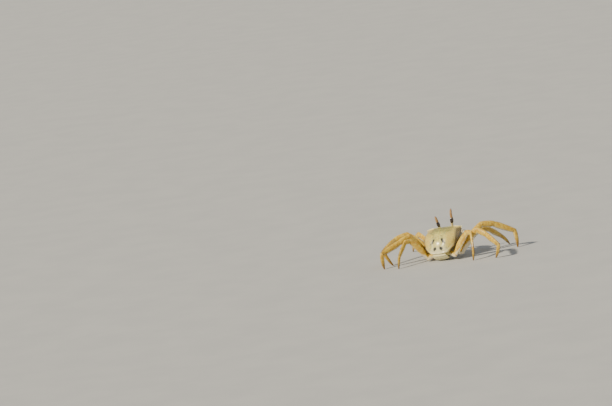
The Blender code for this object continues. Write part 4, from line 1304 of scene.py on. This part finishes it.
def shell_material():
    """Straw shell with olive mottling, tan sides, a dark netted flank whose darkness is partly painted
    shade, and four dark marks.
    """
    paint = Paint("shell_material", roughness=0.42, coat=0.55, subsurface=0.06)
    straws = paint.mottle(size=2.4, low=0.41, high=0.59, detail=6.0, roughness=0.68)
    color = paint.mix(straws, STRAW, PALE_STRAW)
    color = paint.mix(paint.share("tan", strength=0.65), color, TAN)
    middle = paint.combine("SUBTRACT", 1.0, paint.painted("tan"))
    olive = paint.combine("MULTIPLY", paint.mottle(size=1.6, low=0.48, high=0.68, end=0.75), middle)
    color = paint.mix(olive, color, OLIVE)
    color = paint.mix(paint.pores(size=0.75, low=0.14, high=0.32, strength=0.4), color, PORE_BROWN)
    flecks = paint.mottle(size=0.5, low=0.6, high=0.72, end=0.35, detail=2.0)
    color = paint.mix(flecks, color, PALE_FLECK)

    # The netted flank, its dark ground partly painted shade
    cells = paint.cells(size=1.9, feature="DISTANCE_TO_EDGE", stretch=NET_STRETCH)
    net = paint.band(cells, low=0.04, high=0.2)
    flank = paint.mix(net, FLANK_NET, FLANK_SHADE_DARK)
    clouds = paint.mottle(size=3.0, low=0.45, high=0.62, end=0.7, detail=3.0)
    flank = paint.mix(clouds, flank, FLANK_NET)
    color = paint.mix(paint.share("flank", strength=0.95), color, flank)

    blotches = paint.mottle(size=3.4, low=0.3, high=0.62, start=0.35, end=0.85, detail=5.0)
    color = paint.mix(paint.combine("MULTIPLY", paint.painted("olive"), blotches), color, OLIVE_SHADE)
    color = paint.mix(paint.share("pale", strength=0.8), color, IVORY)
    color = paint.mix(paint.share("halo", strength=0.6), color, HALO_GREY)
    marks = paint.band(paint.ragged("mark", size=0.9, amount=0.22), low=0.2, high=0.72)
    color = paint.mix(marks, color, DARK_MARK)
    color = paint.mix(paint.share("seam", strength=0.55), color, SEAM_BROWN)
    gloss = paint.mottle(size=0.7, low=0.3, high=0.7, start=0.3, end=0.48)
    return paint.finish(color, paint.grain(size=0.42, fine=0.25, reach=0.55), depth=0.05, roughness=gloss)


def leg_material(name, white=0.9, underside=(0.5, 0.95), rooted=0.0, darkening=None):
    """Golden shell with a white lower face."""
    paint = Paint(name, roughness=0.4, coat=0.2, subsurface=0.08)
    color = paint.mix(paint.mottle(size=3.2, low=0.36, high=0.66, detail=5.0), GOLD, PALE_GOLD)
    color = paint.mix(paint.mottle(size=0.9, low=0.52, high=0.72, end=0.45), color, ORANGE)
    color = paint.mix(paint.pores(size=0.55, low=0.1, high=0.3, strength=0.3), color, ORANGE)
    under = paint.ragged("under", size=2.2, amount=0.2)
    if rooted:
        root = paint.band(paint.painted("along"), low=0.1 * rooted, high=0.9 * rooted, start=0.85, end=0.0)
        under = paint.combine("ADD", under, root)
    color = paint.mix(paint.band(under, *underside, end=white), color, WHITE_SHELL)
    if darkening:
        far = paint.band(paint.ragged("along", size=1.5, amount=0.12), *darkening, end=0.85)
        color = paint.mix(far, color, BROWN)
    gloss = paint.mottle(size=0.8, low=0.3, high=0.7, start=0.32, end=0.5)
    return paint.finish(color, paint.grain(size=0.5, fine=0.3), depth=0.04, roughness=gloss)


def plain_material(name, colors, size, roughness, depth=0.03, coat=0.0, tip=None, blot=None,
                   subsurface=0.05):
    """A shell of two mottled colours, with blots of a third, and a fourth towards the tip."""
    paint = Paint(name, roughness, coat=coat, subsurface=subsurface)
    color = paint.mix(paint.mottle(size, low=0.38, high=0.64), *colors)
    if blot:
        blots = paint.mottle(0.6 * size, low=0.46, high=0.66, end=0.6, detail=5.0, roughness=0.65)
        color = paint.mix(blots, color, blot)
    if tip:
        shade, low, high = tip
        color = paint.mix(paint.band(paint.painted("along"), low, high), color, shade)
    return paint.finish(color, paint.grain(size=0.45, fine=0.3), depth)


def cornea_material():
    """Glossy near-black, with the eye's fine facets as a bump."""
    paint = Paint("cornea_material", roughness=0.16, specular=0.7, coat=0.6)
    color = paint.mix(paint.mottle(size=1.4, low=0.35, high=0.7, detail=3.0), CORNEA_BLACK, CORNEA_BROWN)
    return paint.finish(color, paint.pores(size=0.11, low=0.0, high=0.6, strength=1.0), depth=0.006)


def floor_material():
    paint = Paint("floor_material", roughness=0.75, specular=0.2)
    color = paint.mix(paint.mottle(size=60.0, low=0.3, high=0.7, detail=3.0), *FLOOR_GREYS)
    return paint.finish(color, paint.noise(size=1.2, detail=3.0), depth=0.05)


# Stage, light and camera

FLOOR_REACH = 30.0
KEY_LIGHT = {"way": (0.38, 0.70, 0.58), "strength": 5.3, "color": (1.0, 0.91, 0.73), "angle": 4.0}
FILL_LIGHT = {"way": (-0.7, -0.3, 0.6), "strength": 0.5, "color": (0.90, 0.95, 1.0), "angle": 60.0}
SKY_COLOR = (0.80, 0.84, 0.88, 1.0)
SKY_STRENGTH = 0.33
CAMERA_AZIMUTH = math.radians(205.6)
CAMERA_RISE = math.radians(8.0)
CAMERA_ROLL = math.radians(8.1)
CAMERA_DISTANCE = 4.0
CAMERA_CLIP = 200.0
SENSOR = 36.0
PICTURE = (612, 406)
CENTRE_PIXEL = (442.7, 241.8)
PIXELS_PER_METRE = 840.0


def build_floor():
    data = bpy.data.meshes.new("floor")
    corners = [(x * FLOOR_REACH, y * FLOOR_REACH, 0.0) for x, y in ((-1, -1), (1, -1), (1, 1), (-1, 1))]
    data.from_pydata(corners, [], [(0, 1, 2, 3)])
    data.materials.append(floor_material())
    floor = bpy.data.objects.new("floor", data)
    bpy.context.scene.collection.objects.link(floor)


def add_sun(name, way, strength, color, angle):
    """A distant light that shines from the given direction."""
    data = bpy.data.lights.new(name, "SUN")
    data.energy = strength
    data.color = color
    data.angle = math.radians(angle)
    item = bpy.data.objects.new(name, data)
    item.rotation_euler = Vector(way).to_track_quat("Z", "Y").to_euler()
    bpy.context.scene.collection.objects.link(item)


def build_light():
    add_sun("key", **KEY_LIGHT)
    add_sun("fill", **FILL_LIGHT)
    world = bpy.data.worlds.new("studio")
    world.use_nodes = True
    background = world.node_tree.nodes["Background"]
    background.inputs["Color"].default_value = SKY_COLOR
    background.inputs["Strength"].default_value = SKY_STRENGTH
    bpy.context.scene.world = world


def build_camera():
    """The photo's camera: behind the crab and on its right, low, and slightly rolled."""
    level = np.array((math.cos(CAMERA_AZIMUTH), math.sin(CAMERA_AZIMUTH), 0.0))
    ahead = np.array((-math.sin(CAMERA_AZIMUTH), math.cos(CAMERA_AZIMUTH), 0.0))
    forward = ahead * math.cos(CAMERA_RISE) - UP * math.sin(CAMERA_RISE)
    upward = np.cross(level, forward)
    right = level * math.cos(CAMERA_ROLL) - upward * math.sin(CAMERA_ROLL)
    top = level * math.sin(CAMERA_ROLL) + upward * math.cos(CAMERA_ROLL)
    data = bpy.data.cameras.new("camera")
    data.sensor_width = SENSOR
    data.lens = SENSOR * CAMERA_DISTANCE / (PICTURE[0] / PIXELS_PER_METRE)
    data.clip_end = CAMERA_CLIP
    camera = bpy.data.objects.new("camera", data)
    aim = (SHIFT + (0.0, 0.0, BODY_HEIGHT)) * MM
    across, down = [(centre - size / 2) / PIXELS_PER_METRE for centre, size in zip(CENTRE_PIXEL, PICTURE)]
    place = aim - forward * CAMERA_DISTANCE - right * across + top * down
    turn = Matrix((right, top, -forward)).transposed().to_4x4()
    turn.translation = Vector(place)
    camera.matrix_world = turn
    bpy.context.scene.collection.objects.link(camera)
    bpy.context.scene.camera = camera


# Granules of the shell: where they stand on its crests, ledges and back, and their radii with
# the least and the most share of each
CREST_GRANULES = (-12.5, 17.0, 74)
CREST_GRANULE = (0.24, 0.8, 1.2)
LEDGE_X = (4.5, 20.0)
LEDGE_FORWARD = 15.0
LEDGE_LIFT = (0.0, 0.12, 0.05)
LEDGE_GRANULE = (0.2, 0.8, 1.3)
BACK_GRANULES = 2600
BACK_GRANULE = (0.12, 0.6, 1.4)
BACK_REACH = 0.95
BACK_DENSE = (0.35, 0.95)
BACK_SPARSE = 0.15


def build_shell_granules(material):
    """Granules along the shell's crests, on the ledges below the eyes and over its back."""
    granules = Skin()
    x, forward = back_edge()
    for sign in SIGNS.values():
        line = np.linspace(*CREST_GRANULES)
        crest = sign * curve(SIDE_CREST, line)
        places = body(crest, line, back_height(crest, line) + back_relief(crest, line))
        granules.beads(places, uneven(CREST_GRANULE, len(places)), BEAD)
    walls, _, _ = shell_walls(x, forward, back_height(x, forward))
    ledge = (np.abs(x) > LEDGE_X[0]) & (np.abs(x) < LEDGE_X[1]) & (forward > LEDGE_FORWARD)
    places = walls[int(LEDGE_SHARE * WALL_ROWS)][ledge] + body_way(*LEDGE_LIFT)
    granules.beads(places, uneven(LEDGE_GRANULE, len(places)), BEAD)
    around, out = rng.uniform(0.0, 1.0, (BACK_GRANULES, 2)).T
    share = np.sqrt(out) * BACK_REACH
    column = (around * len(x)).astype(int)
    gx, gf = x[column] * share, forward[column] * share
    dense = smooth(*BACK_DENSE, np.abs(gx) / half_width(gf))
    keep = rng.uniform(0.0, 1.0, BACK_GRANULES) < BACK_SPARSE + (1 - BACK_SPARSE) * dense
    gx, gf = gx[keep], gf[keep]
    places = body(gx, gf, back_height(gx, gf) + back_relief(gx, gf))
    granules.beads(places, uneven(BACK_GRANULE, len(places)), BEAD)
    make_piece("shell_granules", granules, material)


def main():
    materials = {"shell": shell_material(), "cornea": cornea_material()}
    for name, look in LEG_LOOKS.items():
        materials[name] = leg_material(f"{name}_material", **look)
    for name, look in PLAIN_LOOKS.items():
        materials[name] = plain_material(f"{name}_material", **look)
    build_shell(materials["shell"])
    build_underbody(materials["shell"])
    build_abdomen(materials["shell"])
    build_shell_granules(materials["stalk"])
    for side in SIGNS:
        hairs, leg_granules, claw_granules = Hairs(), Skin(), Skin()
        build_eye(side, materials)
        build_mouth(side, materials, hairs)
        build_claw(side, materials, hairs, claw_granules)
        for number in LEG_LENGTHS:
            build_leg(side, number, materials, hairs, leg_granules)
        make_piece(f"{side}_leg_granules", leg_granules, materials["carpus"])
        make_piece(f"{side}_claw_granules", claw_granules, materials["tooth"])
        hairs.piece(f"{side}_bristles", materials["bristle"], "leg_shell")
    build_floor()
    build_light()
    build_camera()


main()
